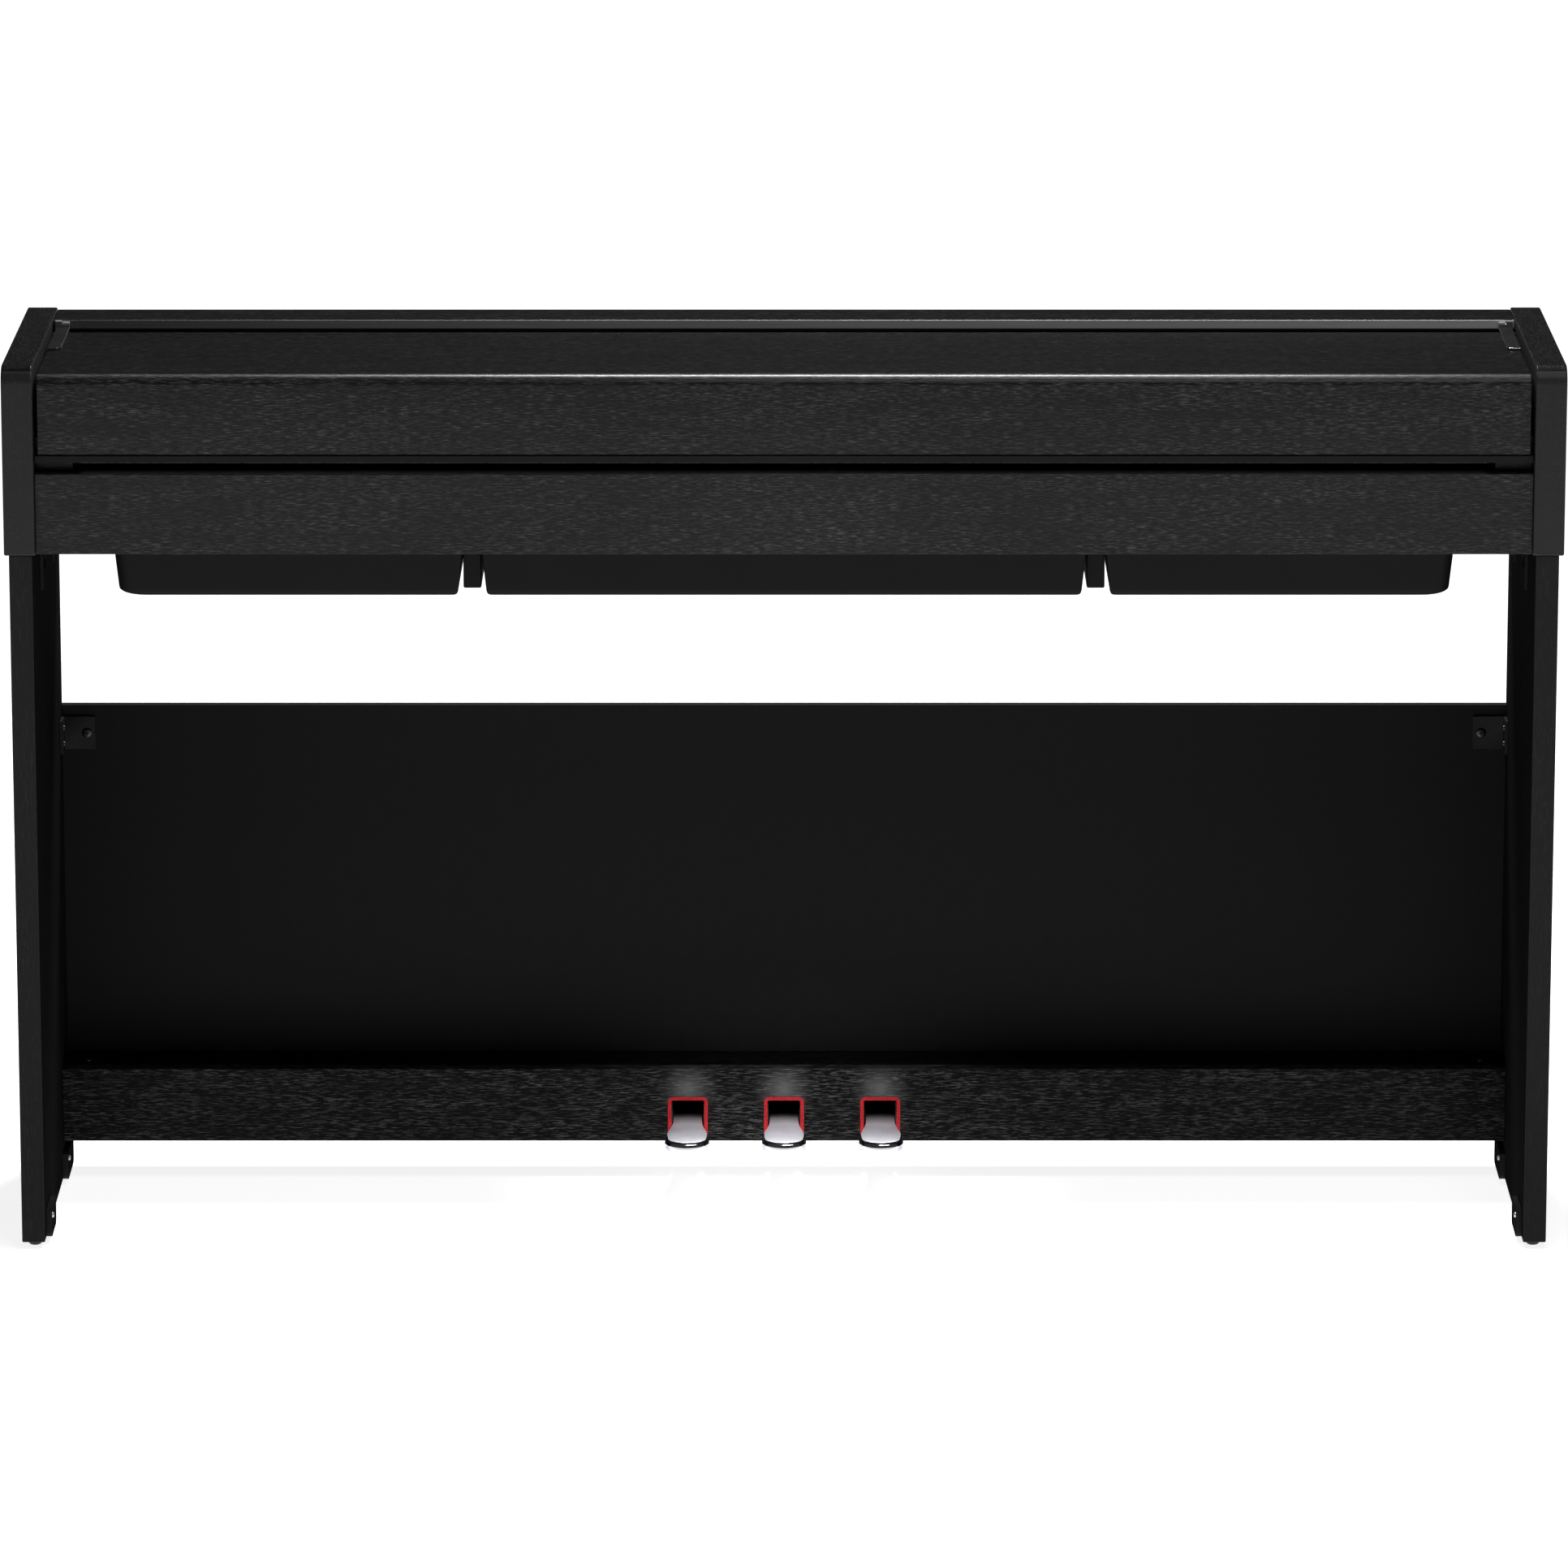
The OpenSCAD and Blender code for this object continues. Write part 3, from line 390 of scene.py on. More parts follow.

# %% [markdown]
# ## Plain board, plastic, steel
# The backboard has no grain at all, only the faint mottle of a matt paper face. The boxes under the
# keys are moulded with a fine spark texture. The brackets are steel under a thin black coat that has
# rubbed a little, and the small bright parts are bare zinc-plated steel. The rear board's front
# edge is closed with a drawn strip of satin metal, which shows as a thin band behind the lid. The
# strip's colour carries a painted highlight that grows towards its right end, and painted shade
# where it goes down behind the lid.

# %% Plain board, plastic and steel
def matt_board():
    finish = Finish("plain_board", roughness=0.62, Specular_IOR_Level=0.08)
    mottle = finish.noise((90, 90, 90), detail=4.0)
    amount = finish.spread(mottle, 0.3, 0.7, 0, 1)
    finish.color(finish.blend(amount, (0.0066, 0.0066, 0.0068), (0.0086,) * 3))
    finish.rough(finish.spread(mottle, 0.3, 0.7, 0.58, 0.68))
    finish.bump(finish.noise((1400, 1400, 1400), detail=2.0), 0.12, 0.0002)
    return finish.material


def moulded_plastic(name, color, roughness, grain=0.25, shine=0.4):
    finish = Finish(name, roughness=roughness, Specular_IOR_Level=shine)
    cloud = finish.noise((25, 25, 25), detail=3.0)
    lighter = tuple(c * 1.25 for c in color)
    finish.color(finish.blend(finish.spread(cloud, 0.3, 0.7, 0, 1), color, lighter))
    finish.rough(finish.spread(cloud, 0.3, 0.7, roughness - 0.04, roughness + 0.05))
    finish.bump(finish.noise((2200, 2200, 2200), detail=1.0), grain, 0.00015)
    return finish.material


def coated_steel():
    finish = Finish("black_steel", roughness=0.4, Specular_IOR_Level=0.12)
    wear_and_glow = finish.noise((160, 160, 160), detail=5.0, roughness=0.65)
    finish.color(finish.blend(finish.spread(wear_and_glow, 0.66, 0.8, 0, 1), (0.009,) * 3, (0.06,) * 3))
    finish.rough(finish.spread(wear_and_glow, 0.3, 0.75, 0.34, 0.52))
    finish.bump(finish.noise((900, 900, 900), detail=2.0), 0.2, 0.0002)
    return finish.material


def plated_steel(name, color, roughness):
    finish = Finish(name, color=color, roughness=roughness, Metallic=1.0)
    scratch = finish.noise((40, 1800, 1800), detail=3.0)
    finish.rough(finish.spread(scratch, 0.3, 0.7, roughness - 0.08, roughness + 0.12))
    darker = tuple(c * 0.85 for c in color)
    finish.color(finish.blend(finish.spread(scratch, 0.35, 0.65, 0, 1), darker, color))
    finish.bump(scratch, 0.08, 0.0001)
    return finish.material


SEAM_SHADE_DEPTH = 0.0012      # metres over which the strip darkens, down from the lid's top


def satin_strip(name, color, left_painted_light_share):
    """A drawn strip with a painted highlight that grows towards its right end, and painted shade where
    it goes down behind the lid.
    """
    finish = Finish(name, roughness=0.3, Specular_IOR_Level=0.4)
    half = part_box("rear_top_board")[1].x
    lid_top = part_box("lid")[1].z
    lines = finish.noise(along("X", length=0.05, width=0.0008), detail=2.0)
    # Painted highlight: the colour grows brighter towards the strip's right end.
    across = finish.spread(finish.part_of_place("X"), -half, half, left_painted_light_share, 1.0)
    amount = finish.math("MULTIPLY", across, finish.spread(lines, 0.3, 0.7, 0.85, 1.0))
    # Painted shade: the colour goes dark where the strip goes down behind the lid.
    painted_seam_shade = finish.spread(finish.part_of_place("Z"), lid_top - SEAM_SHADE_DEPTH, lid_top, 0.0, 1.0)
    finish.color(finish.blend(finish.math("MULTIPLY", amount, painted_seam_shade), (0.001,) * 3, color))
    finish.rough(finish.spread(lines, 0.3, 0.7, 0.26, 0.36))
    return finish.material


# %% [markdown]
# ## Plated pedals
# A pedal is cast, plated and then brushed on top, so its tread is satin and its rounded rim stays
# as bright as a mirror. That is two finishes on one casting. The satin one keeps very fine scratches
# across the tread, and its colour is painted darker back at the neck, a painted shade where the box
# shades the tread. The mirror one only has the faint waviness of plating over a casting.

# %% Pedal metals
NECK_SHADE_STARTS = 0.026      # metres in front of the neck where the painted shade starts
NECK_SHADE_FULL = 0.004       # metres behind the neck where the painted shade is full


def pedal_tread(neck_y):
    finish = Finish("pedal_tread", color=(0.62, 0.61, 0.66), roughness=0.45, Metallic=0.6)
    scratch = finish.noise((2600, 120, 500), detail=3.0)
    cloud = finish.noise((60, 60, 60), detail=2.0)
    finish.rough(finish.spread(scratch, 0.3, 0.7, 0.4, 0.52))
    # Painted shade: the tread's colour goes dark towards the neck, where the box shades it.
    painted_neck_shade = finish.spread(finish.part_of_place("Y"), neck_y - NECK_SHADE_STARTS, neck_y + NECK_SHADE_FULL, 1.0, 0.0)
    shade = finish.math("MULTIPLY", finish.spread(cloud, 0.3, 0.7, 0.85, 1.0), painted_neck_shade)
    finish.color(finish.blend(shade, (0.02, 0.02, 0.022), (0.64, 0.63, 0.69)))
    finish.bump(scratch, 0.1, 0.0001)
    return finish.material


def pedal_rim():
    finish = Finish("pedal_rim", color=(0.64, 0.64, 0.67), roughness=0.07, Metallic=1.0)
    wave = finish.noise((90, 90, 90), detail=1.0)
    finish.rough(finish.spread(wave, 0.3, 0.7, 0.05, 0.11))
    finish.bump(wave, 0.25, 0.0006)
    return finish.material


# %% [markdown]
# ## Felt, rubber, keys and the board inside
# Felt is a mat of loose fibres, so it needs sheen at its edges and a coarse, soft bump. The white
# keys are a warm acrylic with a trace of light passing under the surface, and the black ones are
# matt with a fine grain, so that fingers don't slip.

# %% Felt, rubber, keys, circuit board
def felt(name, shadow, tip, sheen):
    finish = Finish(name, roughness=0.95, Sheen_Weight=0.15, Sheen_Roughness=0.5,
                    Specular_IOR_Level=0.1)
    finish.shader.inputs["Sheen Tint"].default_value = (*sheen, 1)
    fibre = finish.noise((700, 700, 700), detail=4.0, roughness=0.7)
    finish.color(finish.blend(finish.spread(fibre, 0.3, 0.7, 0, 1), shadow, tip))
    finish.bump(fibre, 0.8, 0.0008)
    return finish.material


def rubber():
    finish = Finish("rubber", roughness=0.75, Specular_IOR_Level=0.3)
    dust = finish.noise((300, 300, 300), detail=3.0)
    finish.color(finish.blend(finish.spread(dust, 0.35, 0.7, 0, 1), (0.012,) * 3, (0.03,) * 3))
    finish.bump(dust, 0.2, 0.0003)
    return finish.material


def white_key():
    finish = Finish("white_key", roughness=0.22, Subsurface_Weight=0.08)
    finish.shader.inputs["Subsurface Radius"].default_value = (0.002, 0.0018, 0.0014)
    cloud = finish.noise((30, 30, 30), detail=2.0)
    amount = finish.spread(cloud, 0.3, 0.7, 0, 1)
    finish.color(finish.blend(amount, (0.80, 0.78, 0.73), (0.84, 0.82, 0.77)))
    finish.rough(finish.spread(finish.noise((400, 60, 400), detail=3.0), 0.3, 0.7, 0.18, 0.3))
    finish.bump(finish.noise((1500, 1500, 1500)), 0.03, 0.0001)
    return finish.material


def circuit():
    finish = Finish("circuit", roughness=0.35)
    cells = finish.add("ShaderNodeTexVoronoi", Scale=1.0)
    cells.distance = "MANHATTAN"
    finish.link(finish.place((90, 90, 90)), cells.inputs["Vector"])
    tracks = finish.spread(cells.outputs["Distance"], 0.45, 0.5, 0, 1)
    finish.color(finish.blend(tracks, (0.01, 0.09, 0.035), (0.03, 0.2, 0.07)))
    finish.bump(tracks, 0.3, 0.0001)
    return finish.material


finish_for = {
    "case_foil": foil_along,
    "leg_foil": foil_leg,
    "plain_board": matt_board(),
    "black_plastic": moulded_plastic("black_plastic", (0.0075, 0.0075, 0.0077), 0.5, shine=0.08),
    "black_steel": coated_steel(),
    "bare_steel": plated_steel("bare_steel", (0.55, 0.55, 0.56), 0.3),
    "pedal_metal": pedal_tread(board_front),
    "red_felt": felt("red_felt", (0.20, 0.007, 0.010), (0.48, 0.024, 0.030), (1.0, 0.35, 0.35)),
    "rubber": rubber(),
    "foot_plastic": moulded_plastic("foot_plastic", (0.014,) * 3, 0.28),
    "cone": moulded_plastic("cone", (0.03,) * 3, 0.7),
    "circuit": circuit(),
    "white_key": white_key(),
    "black_key": moulded_plastic("black_key", (0.011,) * 3, 0.34, grain=0.35),
}
rim_metal = pedal_rim()
# The black felt also serves for painted shade and reflection: the dark line on the pedals and the dark
# cross on the screws.
black_felt_and_painted_shade = felt("black_felt_and_painted_shade", (0.004, 0.004, 0.004), (0.012, 0.012, 0.012), (0.1, 0.1, 0.1))
dark_steel = plated_steel("dark_steel", (0.06, 0.06, 0.062), 0.35)
satin_trim = satin_strip("satin_trim", (0.5, 0.5, 0.51), left_painted_light_share=0.16)
matt_black = moulded_plastic("matt_black", (0.0075, 0.0075, 0.0077), 0.7, shine=0.0)
leaf_top_shade = moulded_plastic("leaf_top_shade", (0.006, 0.006, 0.0062), 0.4, shine=0.04)
block_plastic = moulded_plastic("block_plastic", (0.075, 0.075, 0.077), 0.4, grain=0.1)
print("finishes", len(bpy.data.materials))

# %% [markdown]
# ## Softened copies
# A drawing has knife-sharp corners and nothing real has. A soft edge a few tenths of a millimetre
# wide is what catches the light and tells the eye where one board ends. Each board is copied from
# its drawing, its flat faces are joined up again, and a bevel modifier rounds every edge that turns
# by more than thirty degrees. The copy then stands in for the drawing and moves with the same body.

# %% Helpers that make pieces
NODE_PIECES = {}
WELD = 0.002 * MM        # drawn corners closer than this are one corner
FLAT = 0.8               # degrees; faces that meet more gently than this are one face
SOFT_ABOVE = 30          # degrees; edges that turn more than this are rounded


def hand_over(piece, node):
    """The piece stands for the node and rides on its body."""
    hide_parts(node)
    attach(piece, body_of[node])
    NODE_PIECES[node] = piece
    return piece


def as_piece(name, work, materials, sharp_angle=35):
    """Turns a bmesh into an object in the scene, smooth where its faces meet gently."""
    bmesh.ops.recalc_face_normals(work, faces=work.faces)
    mesh = bpy.data.meshes.new(name)
    work.to_mesh(mesh)
    work.free()
    mesh.polygons.foreach_set("use_smooth", [True] * len(mesh.polygons))
    mesh.set_sharp_from_angle(angle=math.radians(sharp_angle))
    for material in materials:
        mesh.materials.append(material)
    piece = bpy.data.objects.new(name, mesh)
    scene.collection.objects.link(piece)
    return piece


def node_bmesh(node):
    """The drawn shape with its flat faces joined up again."""
    work = bmesh.new()
    work.from_mesh(frame["nodes"][node].data)
    bmesh.ops.remove_doubles(work, verts=work.verts, dist=WELD)
    bmesh.ops.dissolve_limit(work, angle_limit=math.radians(FLAT), verts=work.verts, edges=work.edges)
    return work


def round_edges(piece, radius, segments):
    bevel = piece.modifiers.new("soft edges", "BEVEL")
    bevel.width = radius * MM
    bevel.segments = segments
    bevel.limit_method = "ANGLE"
    bevel.angle_limit = math.radians(SOFT_ABOVE)
    bevel.harden_normals = True
    bevel.use_clamp_overlap = True


def soften(node, radius, material=None, segments=3):
    """Makes a copy of a node with rounded edges; the radius is in millimetres."""
    piece = as_piece(node + ".soft", node_bmesh(node), [material or finish_for[slot_of[node]]])
    round_edges(piece, radius, segments)
    return hand_over(piece, node)


def paint(piece, material, chosen):
    """Gives a second finish to the faces that a test on centre and normal chooses."""
    piece.data.materials.append(material)
    slot = len(piece.data.materials) - 1
    count = 0
    for face in piece.data.polygons:
        if chosen(face.center, face.normal):
            face.material_index = slot
            count += 1
    return count


def loose_boxes(node):
    """The two corners of each separate solid in a node."""
    work = bmesh.new()
    work.from_mesh(frame["nodes"][node].data)
    bmesh.ops.remove_doubles(work, verts=work.verts, dist=WELD)
    left = set(work.verts)
    boxes = []
    while left:
        start = min(left, key=lambda v: v.index)
        left.discard(start)
        reached, front = [start], [start]
        while front:
            grown = {e.other_vert(v) for v in front for e in v.link_edges} & left
            left -= grown
            front = list(grown)
            reached += front
        spans = [[v.co[i] for v in reached] for i in range(3)]
        boxes.append((Vector(map(min, spans)), Vector(map(max, spans))))
    work.free()
    return sorted(boxes, key=lambda b: tuple(b[0]))


def stack(work, loops, slot=0):
    """Skins a closed stack of loops of as many points; slot is one finish, or one for each loop."""
    slots = slot if isinstance(slot, list) else [slot] * len(loops)
    rows = [[work.verts.new(p) for p in loop] for loop in loops]
    for k in range(len(rows) - 1):
        for i in range(len(rows[k])):
            j = (i + 1) % len(rows[k])
            face = work.faces.new((rows[k][i], rows[k][j], rows[k + 1][j], rows[k + 1][i]))
            face.material_index = slots[k]
    work.faces.new(list(reversed(rows[0]))).material_index = slots[0]
    work.faces.new(rows[-1]).material_index = slots[-1]


# %% [markdown]
# ## The case
# The two arms are boards stood on edge, with a thick rounding that the foil is wrapped around, so
# their edges are softer than a sawn board's. Between them lie the rail, the keybed and the boards
# that close the back. Only the arms' grain runs from front to back. Each rounding is in millimetres.

# %% Case boards
FACING = 0.7             # a face looks along an axis when its normal's share is more than this

for node in ("arm_left", "arm_right"):
    soften(node, 1.6, foil_arm, segments=4)
    # The arms' tops get the darker foil: painted shade.
    paint(NODE_PIECES[node], foil_arm_top_shaded, lambda c, n: n.z > FACING)
soften("front_rail", 0.9)
# The rear board and the lid take the lid foil with its darker ground: painted shade.
soften("rear_top_board", 0.9, foil_lid_shaded)
for node in ("keybed", "rear_cover", "backboard"):
    soften(node, 0.6)
for node in ("key_blocks", "music_ledge"):
    soften(node, 0.8)
soften("filler_strip", 0.5, matt_black)
soften("lid", 0.8, foil_lid_shaded)
soften("flap", 0.9, segments=4)
soften("flap_lip", 0.8)
soften("hinge_blocks", 0.5, block_plastic)
leaves = soften("hinge_leaves", 0.35)
soften("power_inlet", 0.5)
blocks_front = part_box("hinge_blocks")[0].y
# Painted shade on the leaves' tops, which get a darker paint, and a painted highlight on their front
# ends, which get the mirror metal.
paint(leaves, leaf_top_shade, lambda c, n: n.z > FACING)
paint(leaves, rim_metal, lambda c, n: n.y < -FACING)
paint(leaves, block_plastic, lambda c, n: c.y > blocks_front)
front_of_board = paint(NODE_PIECES["rear_top_board"], satin_trim, lambda c, n: n.y < -FACING)
print("case pieces", len(NODE_PIECES), "trim faces", front_of_board)

# %% [markdown]
# ## The stand
# The legs are plain boards, and the box between them holds the pedals. The brackets that tie the
# boards together are pressed steel, and their flat sides are seen nearly edge-on, so they are given
# a darker matt black with no shine: painted shade. The felts are cut from thin sheet: the strip that
# shows behind the keys is red, and the one below, where the keys land, is black.

# %% Stand boards
UNDER_KEYS = 0.7         # metres; the landing felt lies lower than this

for node in ("leg_left", "leg_right"):
    soften(node, 1.2)
    # The legs' insides get the darker foil: painted shade.
    paint(NODE_PIECES[node], foil_leg_inner_shaded, lambda c, n: n.x * math.copysign(1, c.x) < -FACING)
# The pedal box front gets the foil with painted shade and the painted glow above each pedal.
soften("pedal_box_front", 0.7, foil_low_shade_and_glow)
# The pedal box top gets the darkest foil: painted shade under the keys.
soften("pedal_box_top", 0.7, foil_shelf_shaded)
for node in ("leg_brackets", "foot_brackets", "corner_brackets"):
    soften(node, 0.4)
    # Painted shade: the flat sides get the darker matt black with no shine.
    paint(NODE_PIECES[node], matt_black, lambda c, n: abs(n.x) > FACING)
soften("bridge_panels", 1.5)
for node in ("glides", "control_panel", "power_button", "lid_bumpers", "pedal_felts", "key_felts"):
    soften(node, 0.4)
landing = paint(NODE_PIECES["key_felts"], black_felt_and_painted_shade, lambda c, n: c.z < UNDER_KEYS)
print("stand pieces", len(NODE_PIECES), "landing faces", landing)

# %% [markdown]
# ## The boxes under the keys
# Three moulded boxes hang under the keybed, and the outer two hold the speakers. A moulding has to
# leave its mould, so its sides lean in, and its free corners are drawn in generously. Each box is
# skinned over a stack of rounded outlines, each a little smaller than the one above, and the slots
# for the sound are then cut through the bottom with a boolean.

# %% Moulded boxes
CORNER = {True: 14 * MM, False: 3 * MM}    # rounding in plan: at a free end, and beside a box
BELLY = {True: 12 * MM, False: 3 * MM}     # rounding under the same two kinds of end
TAPER = 4 * MM           # how far each end leans in
LEAN = 1 * MM            # how far the front and the back lean in
FRONT_ROUND = 2.5 * MM   # rounding under the front and the back
ROUND_HEIGHT = 6 * MM    # height over which the bottom turns up into the sides
BELLY_STEPS = 7

SLOT_PITCH = 11.5 * MM
SLOTS_A_SIDE = 4         # slots on either side of the middle one
SLOT_HALF = 2 * MM
SLOT_END = 1.9 * MM      # radius at the ends of a slot
SLOT_FIELD = 52 * MM     # radius of the round field that the slots fill
CUT_BELOW = 3 * MM
CUT_ABOVE = 9 * MM


def outline(x0, x1, y0, y1, z, left, right, steps=7):
    """A rectangle whose corners on the left and on the right have their own radius."""
    corners = [(x0 + left, y0 + left, left, 180), (x1 - right, y0 + right, right, 270),
               (x1 - right, y1 - right, right, 0), (x0 + left, y1 - left, left, 90)]
    points = []
    for cx, cy, r, start in corners:
        for i in range(steps + 1):
            a = math.radians(start + 90 * i / steps)
            points.append((cx + r * math.cos(a), cy + r * math.sin(a), z))
    return points


def moulded_box(node, left_free, right_free):
    """A free end has a wide rounding; an end beside another box has a small one."""
    low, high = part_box(node)
    left, right = CORNER[left_free], CORNER[right_free]
    loops = [outline(low.x, high.x, low.y, high.y, high.z, left, right)]
    for i in range(BELLY_STEPS + 1):
        a = math.radians(90 * i / BELLY_STEPS)
        pull = 1 - math.cos(a)
        front_in = LEAN + FRONT_ROUND * pull
        loops.append(outline(
            low.x + TAPER + BELLY[left_free] * pull, high.x - TAPER - BELLY[right_free] * pull,
            low.y + front_in, high.y - front_in,
            low.z + ROUND_HEIGHT * (1 - math.sin(a)), left, right))
    work = bmesh.new()
    stack(work, loops)
    return as_piece(node + ".moulded", work, [finish_for["black_plastic"]], sharp_angle=28)


def cut_slots(piece, low, high):
    """Nine slots across a round field, cut right through the bottom."""
    cx, cy = (low.x + high.x) / 2, (low.y + high.y) / 2
    work = bmesh.new()
    for i in range(-SLOTS_A_SIDE, SLOTS_A_SIDE + 1):
        across = i * SLOT_PITCH
        half = math.sqrt(SLOT_FIELD ** 2 - across ** 2)
        ends = outline(cx + across - SLOT_HALF, cx + across + SLOT_HALF, cy - half, cy + half,
                       low.z - CUT_BELOW, SLOT_END, SLOT_END, steps=4)
        stack(work, [ends, [(x, y, low.z + CUT_ABOVE) for x, y, z in ends]])
    cutter = as_piece("slot_cutter", work, [black_felt_and_painted_shade])
    cut = piece.modifiers.new("slots", "BOOLEAN")
    cut.object = cutter
    cut.operation = "DIFFERENCE"
    bpy.context.view_layer.update()
    ready = piece.evaluated_get(bpy.context.evaluated_depsgraph_get())
    mesh = bpy.data.meshes.new_from_object(ready)
    piece.modifiers.remove(cut)
    piece.data = mesh
    bpy.data.objects.remove(cutter)


for node, left_free, right_free in (("speaker_box_left", True, False), ("middle_box", False, False),
                                    ("speaker_box_right", False, True)):
    piece = moulded_box(node, left_free, right_free)
    if node != "middle_box":
        cut_slots(piece, *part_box(node))
    hand_over(piece, node)
    print(node, "faces", len(piece.data.polygons))

# %% [markdown]
# ## The pedals
# A pedal is a brass or iron casting whose tread widens to a broad, shallow curve under the foot.
# Its rim is rolled over and polished, and a fine dark line is painted where the rim turns into the
# satin tread: a painted reflection of the dark room. The head is skinned from loops that all follow
# the same plan at growing distances from its edge, so the rim, the painted line and the tread each
# get their own loops. The tail, which is hidden inside the box, stays as it was drawn.

# %% Pedals
PEDAL_HALF = 20 * MM
PEDAL_NECK_HALF = 13.5 * MM
PEDAL_TIP = 14 * MM          # length of the round end
PEDAL_FLARE = 60 * MM        # behind the round end, down to the neck's width
PEDAL_TOP = 63 * MM          # tread above the floor
PEDAL_CURL = 1.6 * MM        # how far the tip bends down
CURL_LENGTH = 30 * MM
RIM_FADES = 26 * MM          # the rim thins out over this length behind the round end
RIM_LEAST = 0.25             # share of its width that stays
TREAD_INSET = 4 * MM         # loops further in than this lie on the tread and keep their inset
SIDE_DROP = 3 * MM           # loops lower than this lie on the casting's side
SIDE_AT_NECK = 0.62          # share of the side's depth that is left at the neck
HEAD_LENGTH = 110 * MM
HEAD_OVERLAP = 3 * MM        # how far the tail reaches into the head


def pedal_half_width(s, inset):
    """Half of the width at a distance behind the tip, for a plan that is inset all round."""
    if s < PEDAL_TIP:
        reach = PEDAL_TIP - inset
        t = min(1.0, (PEDAL_TIP - s) / reach)
        return (PEDAL_HALF - inset) * math.sqrt(max(0.0, 1 - t * t))
    t = min(1.0, (s - PEDAL_TIP) / PEDAL_FLARE)
    narrow = (PEDAL_HALF - PEDAL_NECK_HALF) * (1 - math.cos(math.pi * t)) / 2
    return PEDAL_HALF - inset - narrow


def pedal_loop(x, tip_y, inset, drop):
    """One closed loop round the head, in from its edge and down from its top."""
    stations = [inset + (PEDAL_TIP - inset) * (1 - math.cos(math.pi / 2 * i / 10)) for i in range(11)]
    stations += [PEDAL_TIP + (HEAD_LENGTH - PEDAL_TIP) * i / 16 for i in range(1, 17)]
    side = []
    for s in stations:
        bend = PEDAL_CURL * max(0.0, 1 - s / CURL_LENGTH) ** 2
        thin = 1.0
        if inset <= TREAD_INSET:
            thin = max(RIM_LEAST, min(1.0, 1 - (s - PEDAL_TIP) / RIM_FADES))
        depth = drop
        if drop >= SIDE_DROP:
            depth *= SIDE_AT_NECK + (1 - SIDE_AT_NECK) * max(0.0, 1 - s / PEDAL_FLARE)
        side.append((pedal_half_width(s, inset * thin), tip_y + s, PEDAL_TOP - depth - bend))
    right = [(x + w, y, z) for w, y, z in side[1:]]
    left = [(x - w, y, z) for w, y, z in reversed(side[1:])]
    return [(x, side[0][1], side[0][2])] + right + left


# Band 2 is a painted dark line, a painted reflection of the dark room where the rim turns into the
# tread.
PEDAL_LOOPS = [  # inset, drop, finish of the band that follows: 0 tread, 1 rim, 2 line; millimetres
    (3.4, 5.0, 1), (2.0, 10.0, 1), (0.6, 10.2, 1), (0.0, 9.4, 1), (0.0, 5.2, 1), (0.15, 3.6, 1),
    (0.8, 2.2, 1), (1.7, 1.3, 1), (2.6, 0.8, 2), (2.8, 1.15, 2), (3.1, 0.65, 0), (4.0, 0.5, 0),
    (6.5, 0.25, 0), (9.5, 0.08, 0), (12.6, 0.0, 0),
]


def pedal(node):
    low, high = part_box(node)
    x = (low.x + high.x) / 2
    work = bmesh.new()
    loops = [pedal_loop(x, low.y, inset * MM, drop * MM) for inset, drop, _ in PEDAL_LOOPS]
    stack(work, loops, slot=[finish for _, _, finish in PEDAL_LOOPS])
    head = as_piece(node + ".head", work, [finish_for["pedal_metal"], rim_metal, black_felt_and_painted_shade], 50)
    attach(head, node)
    tail = node_bmesh(node)
    split = low.y + HEAD_LENGTH - HEAD_OVERLAP
    cut = bmesh.ops.bisect_plane(tail, geom=tail.verts[:] + tail.edges[:] + tail.faces[:],
                                 plane_co=(0, split, 0), plane_no=(0, 1, 0), clear_inner=True)
    bmesh.ops.holes_fill(tail, edges=[g for g in cut["geom_cut"] if isinstance(g, bmesh.types.BMEdge)])
    hand_over(as_piece(node + ".tail", tail, [finish_for["pedal_metal"]]), node)
    return len(head.data.polygons)


for node in PEDALS:
    print(node, "head faces", pedal(node))

# %% [markdown]
# ## Screws
# A screw head is a low dome with a cross driven into it. The drawing only keeps room for each head,
# so every head is made afresh in its own room: rings for the dome, and a dark cross, painted shade
# standing in for the recess. Only the screws low on the legs are left bright, the others are blackened.

# %% Screws
DOME = [(1.0, 0.0), (1.0, 0.25), (0.94, 0.5), (0.78, 0.76), (0.5, 0.93), (0.2, 0.985)]  # radius, height
SCREW_SIDES = 20
CROSS_HALF = 0.55        # of the head's radius
CROSS_WIDE = 0.12
CROSS_FOOT = 0.5         # of the head's height, where the dark cross starts
LEFT_BRIGHT = 0.04       # metres; screws lower than this are not blackened


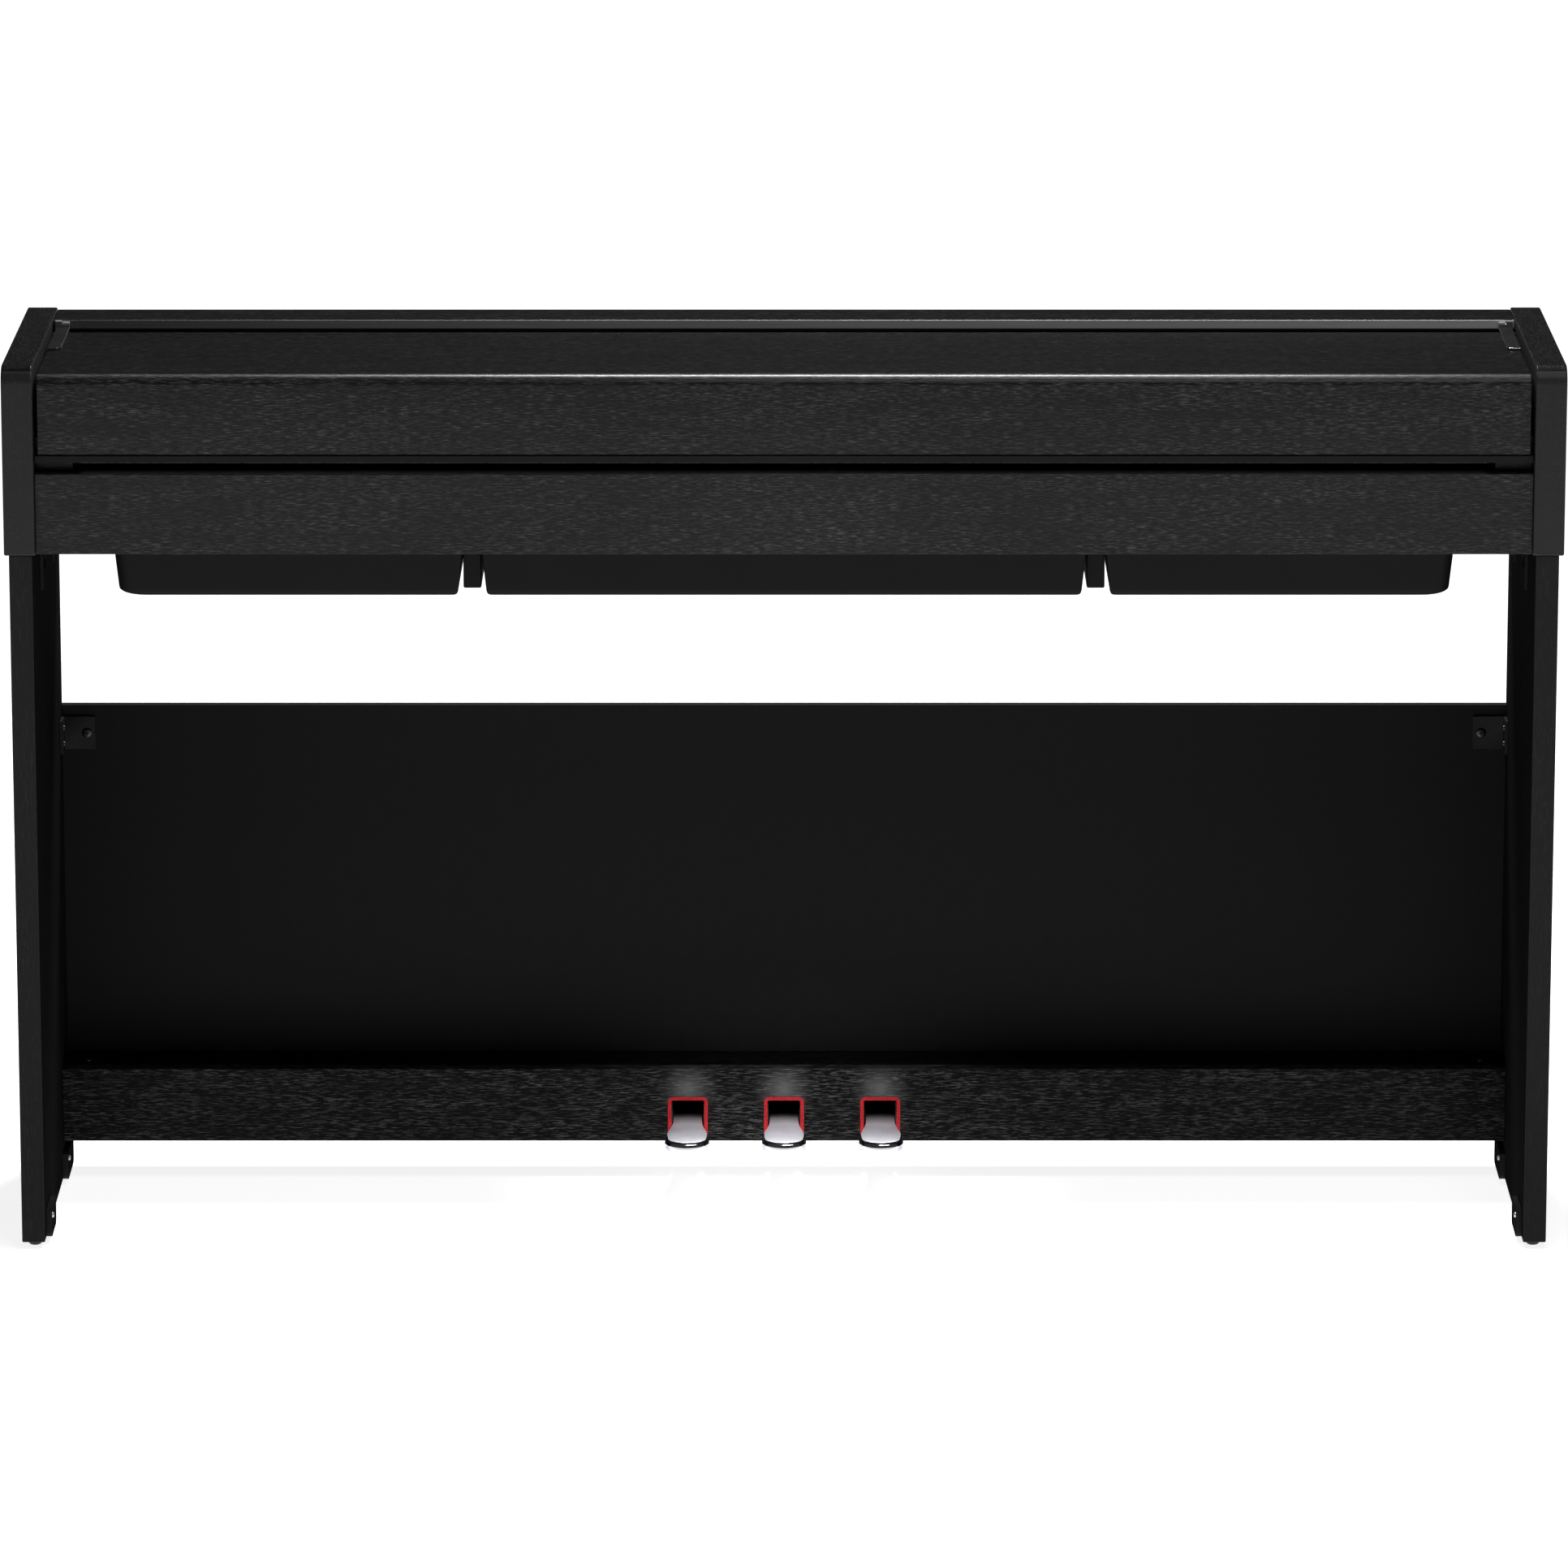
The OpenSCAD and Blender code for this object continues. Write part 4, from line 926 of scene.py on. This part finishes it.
def screw_head(work, low, high, slots):
    size = high - low
    axis = min(range(3), key=lambda i: size[i])
    centre = (low + high) / 2
    r = max(size) / 2
    # The head looks into the room: forward, up, or away from the leg it sits on
    facing = {0: -1 if centre.x > 0 else 1, 1: -1, 2: 1}[axis]
    foot = centre.copy()
    foot[axis] -= facing * size[axis] / 2
    u, v = Vector((0, 0, 0)), Vector((0, 0, 0))
    u[(axis + 1) % 3] = 1
    v[(axis + 2) % 3] = 1
    out = Vector((0, 0, 0))
    out[axis] = facing
    turns = [2 * math.pi * i / SCREW_SIDES for i in range(SCREW_SIDES)]
    stack(work, [[foot + (u * math.cos(a) + v * math.sin(a)) * r * k + out * size[axis] * h
                  for a in turns] for k, h in DOME], slot=slots[0])
    # The dark cross is painted shade, standing in for the recess.
    for long_way, short_way in ((u, v), (v, u)):
        a, b = long_way * r * CROSS_HALF, short_way * r * CROSS_WIDE
        base = foot + out * size[axis] * CROSS_FOOT
        lift = out * size[axis] * (1 - CROSS_FOOT)
        stack(work, [[base - a - b, base + a - b, base + a + b, base - a + b],
                     [base + lift - a - b, base + lift + a - b, base + lift + a + b,
                      base + lift - a + b]], slot=slots[1])


work = bmesh.new()
heads = loose_boxes("bracket_screws")
for low, high in heads:
    screw_head(work, low, high, (1 if high.z < LEFT_BRIGHT else 0, 2))
hand_over(as_piece("bracket_screws.heads", work, [dark_steel, finish_for["bare_steel"], black_felt_and_painted_shade]),
          "bracket_screws")
print("screw heads", len(heads))

# %% [markdown]
# ## The volume knob
# Fingers need something to grip, so the knob's side is fluted, and a pale line shows where it
# points. The flutes are a ripple on the radius of each ring, which keeps it one closed mesh.

# %% Volume knob
low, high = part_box("volume_knob")
knob_centre = (low + high) / 2
knob_radius = (high.x - low.x) / 2
KNOB_HEIGHT = 7 * MM
SPINDLE = 2.8 * MM
FLUTES = 22
POINTS_A_FLUTE = 6
LINE_LENGTH = 5 * MM
LINE_HALF = 0.5 * MM
LINE_IN = 1.4 * MM       # from the knob's edge to the line's outer end
LINE_END = 0.45 * MM     # radius at the ends of the line
knob_foot = high.z - KNOB_HEIGHT


def knob_ring(radius, z, ripple):
    count = FLUTES * POINTS_A_FLUTE
    points = []
    for i in range(count):
        a = 2 * math.pi * i / count
        r = radius - ripple * (0.5 - 0.5 * math.cos(FLUTES * a))
        points.append((knob_centre.x + r * math.cos(a), knob_centre.y + r * math.sin(a), z))
    return points


work = bmesh.new()
stack(work, [knob_ring(SPINDLE, low.z, 0), knob_ring(SPINDLE, knob_foot, 0),
             knob_ring(knob_radius - 0.6 * MM, knob_foot, 0.3 * MM),
             knob_ring(knob_radius, knob_foot + 0.8 * MM, 0.5 * MM),
             knob_ring(knob_radius - 0.3 * MM, high.z - 1.2 * MM, 0.5 * MM),
             knob_ring(knob_radius - 1.0 * MM, high.z - 0.3 * MM, 0.1 * MM),
             knob_ring(knob_radius - 1.8 * MM, high.z - 0.15 * MM, 0)])
line_end = knob_centre.y + knob_radius - LINE_IN
stack(work, [outline(knob_centre.x - LINE_HALF, knob_centre.x + LINE_HALF, line_end - LINE_LENGTH,
                     line_end, high.z + dz, LINE_END, LINE_END, steps=3) for dz in (-1 * MM, 0)], slot=1)
hand_over(as_piece("volume_knob.fluted", work, [finish_for["black_plastic"], finish_for["white_key"]]),
          "volume_knob")
print("knob radius", round(knob_radius / MM, 2))

# %% [markdown]
# ## The keys
# The white keys are hooded in acrylic and the black ones are moulded. Both have edges that a finger
# slides over without noticing, so the rounding is a little larger on the black ones, which are
# narrow and stand up between the others.

# %% Keys
for node in slot_of:
    if node.startswith("keys_"):
        soften(node, 1.0 if "sharp" in node else 0.6)
print("pieces so far", len(NODE_PIECES))

# %% [markdown]
# ## What stays as drawn
# Rods, springs, pins and the parts that nobody sees need no softened copy. They keep their drawn
# shape and only get a finish. The steel inside the pedal box gets the dark steel, as painted shade
# for the inside of the box, so nothing glints through the openings.

# %% Everything else keeps its drawn shape and gets its finish
for node, piece in frame["nodes"].items():
    if node not in NODE_PIECES:
        piece.data.materials.clear()
        in_box_shade = node in ("pedal_bracket", "pedal_axle", "pedal_springs")
        piece.data.materials.append(dark_steel if in_box_shade else finish_for[slot_of[node]])
        print("drawn shape kept:", node)

# %% Sizes, and the end
low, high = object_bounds()
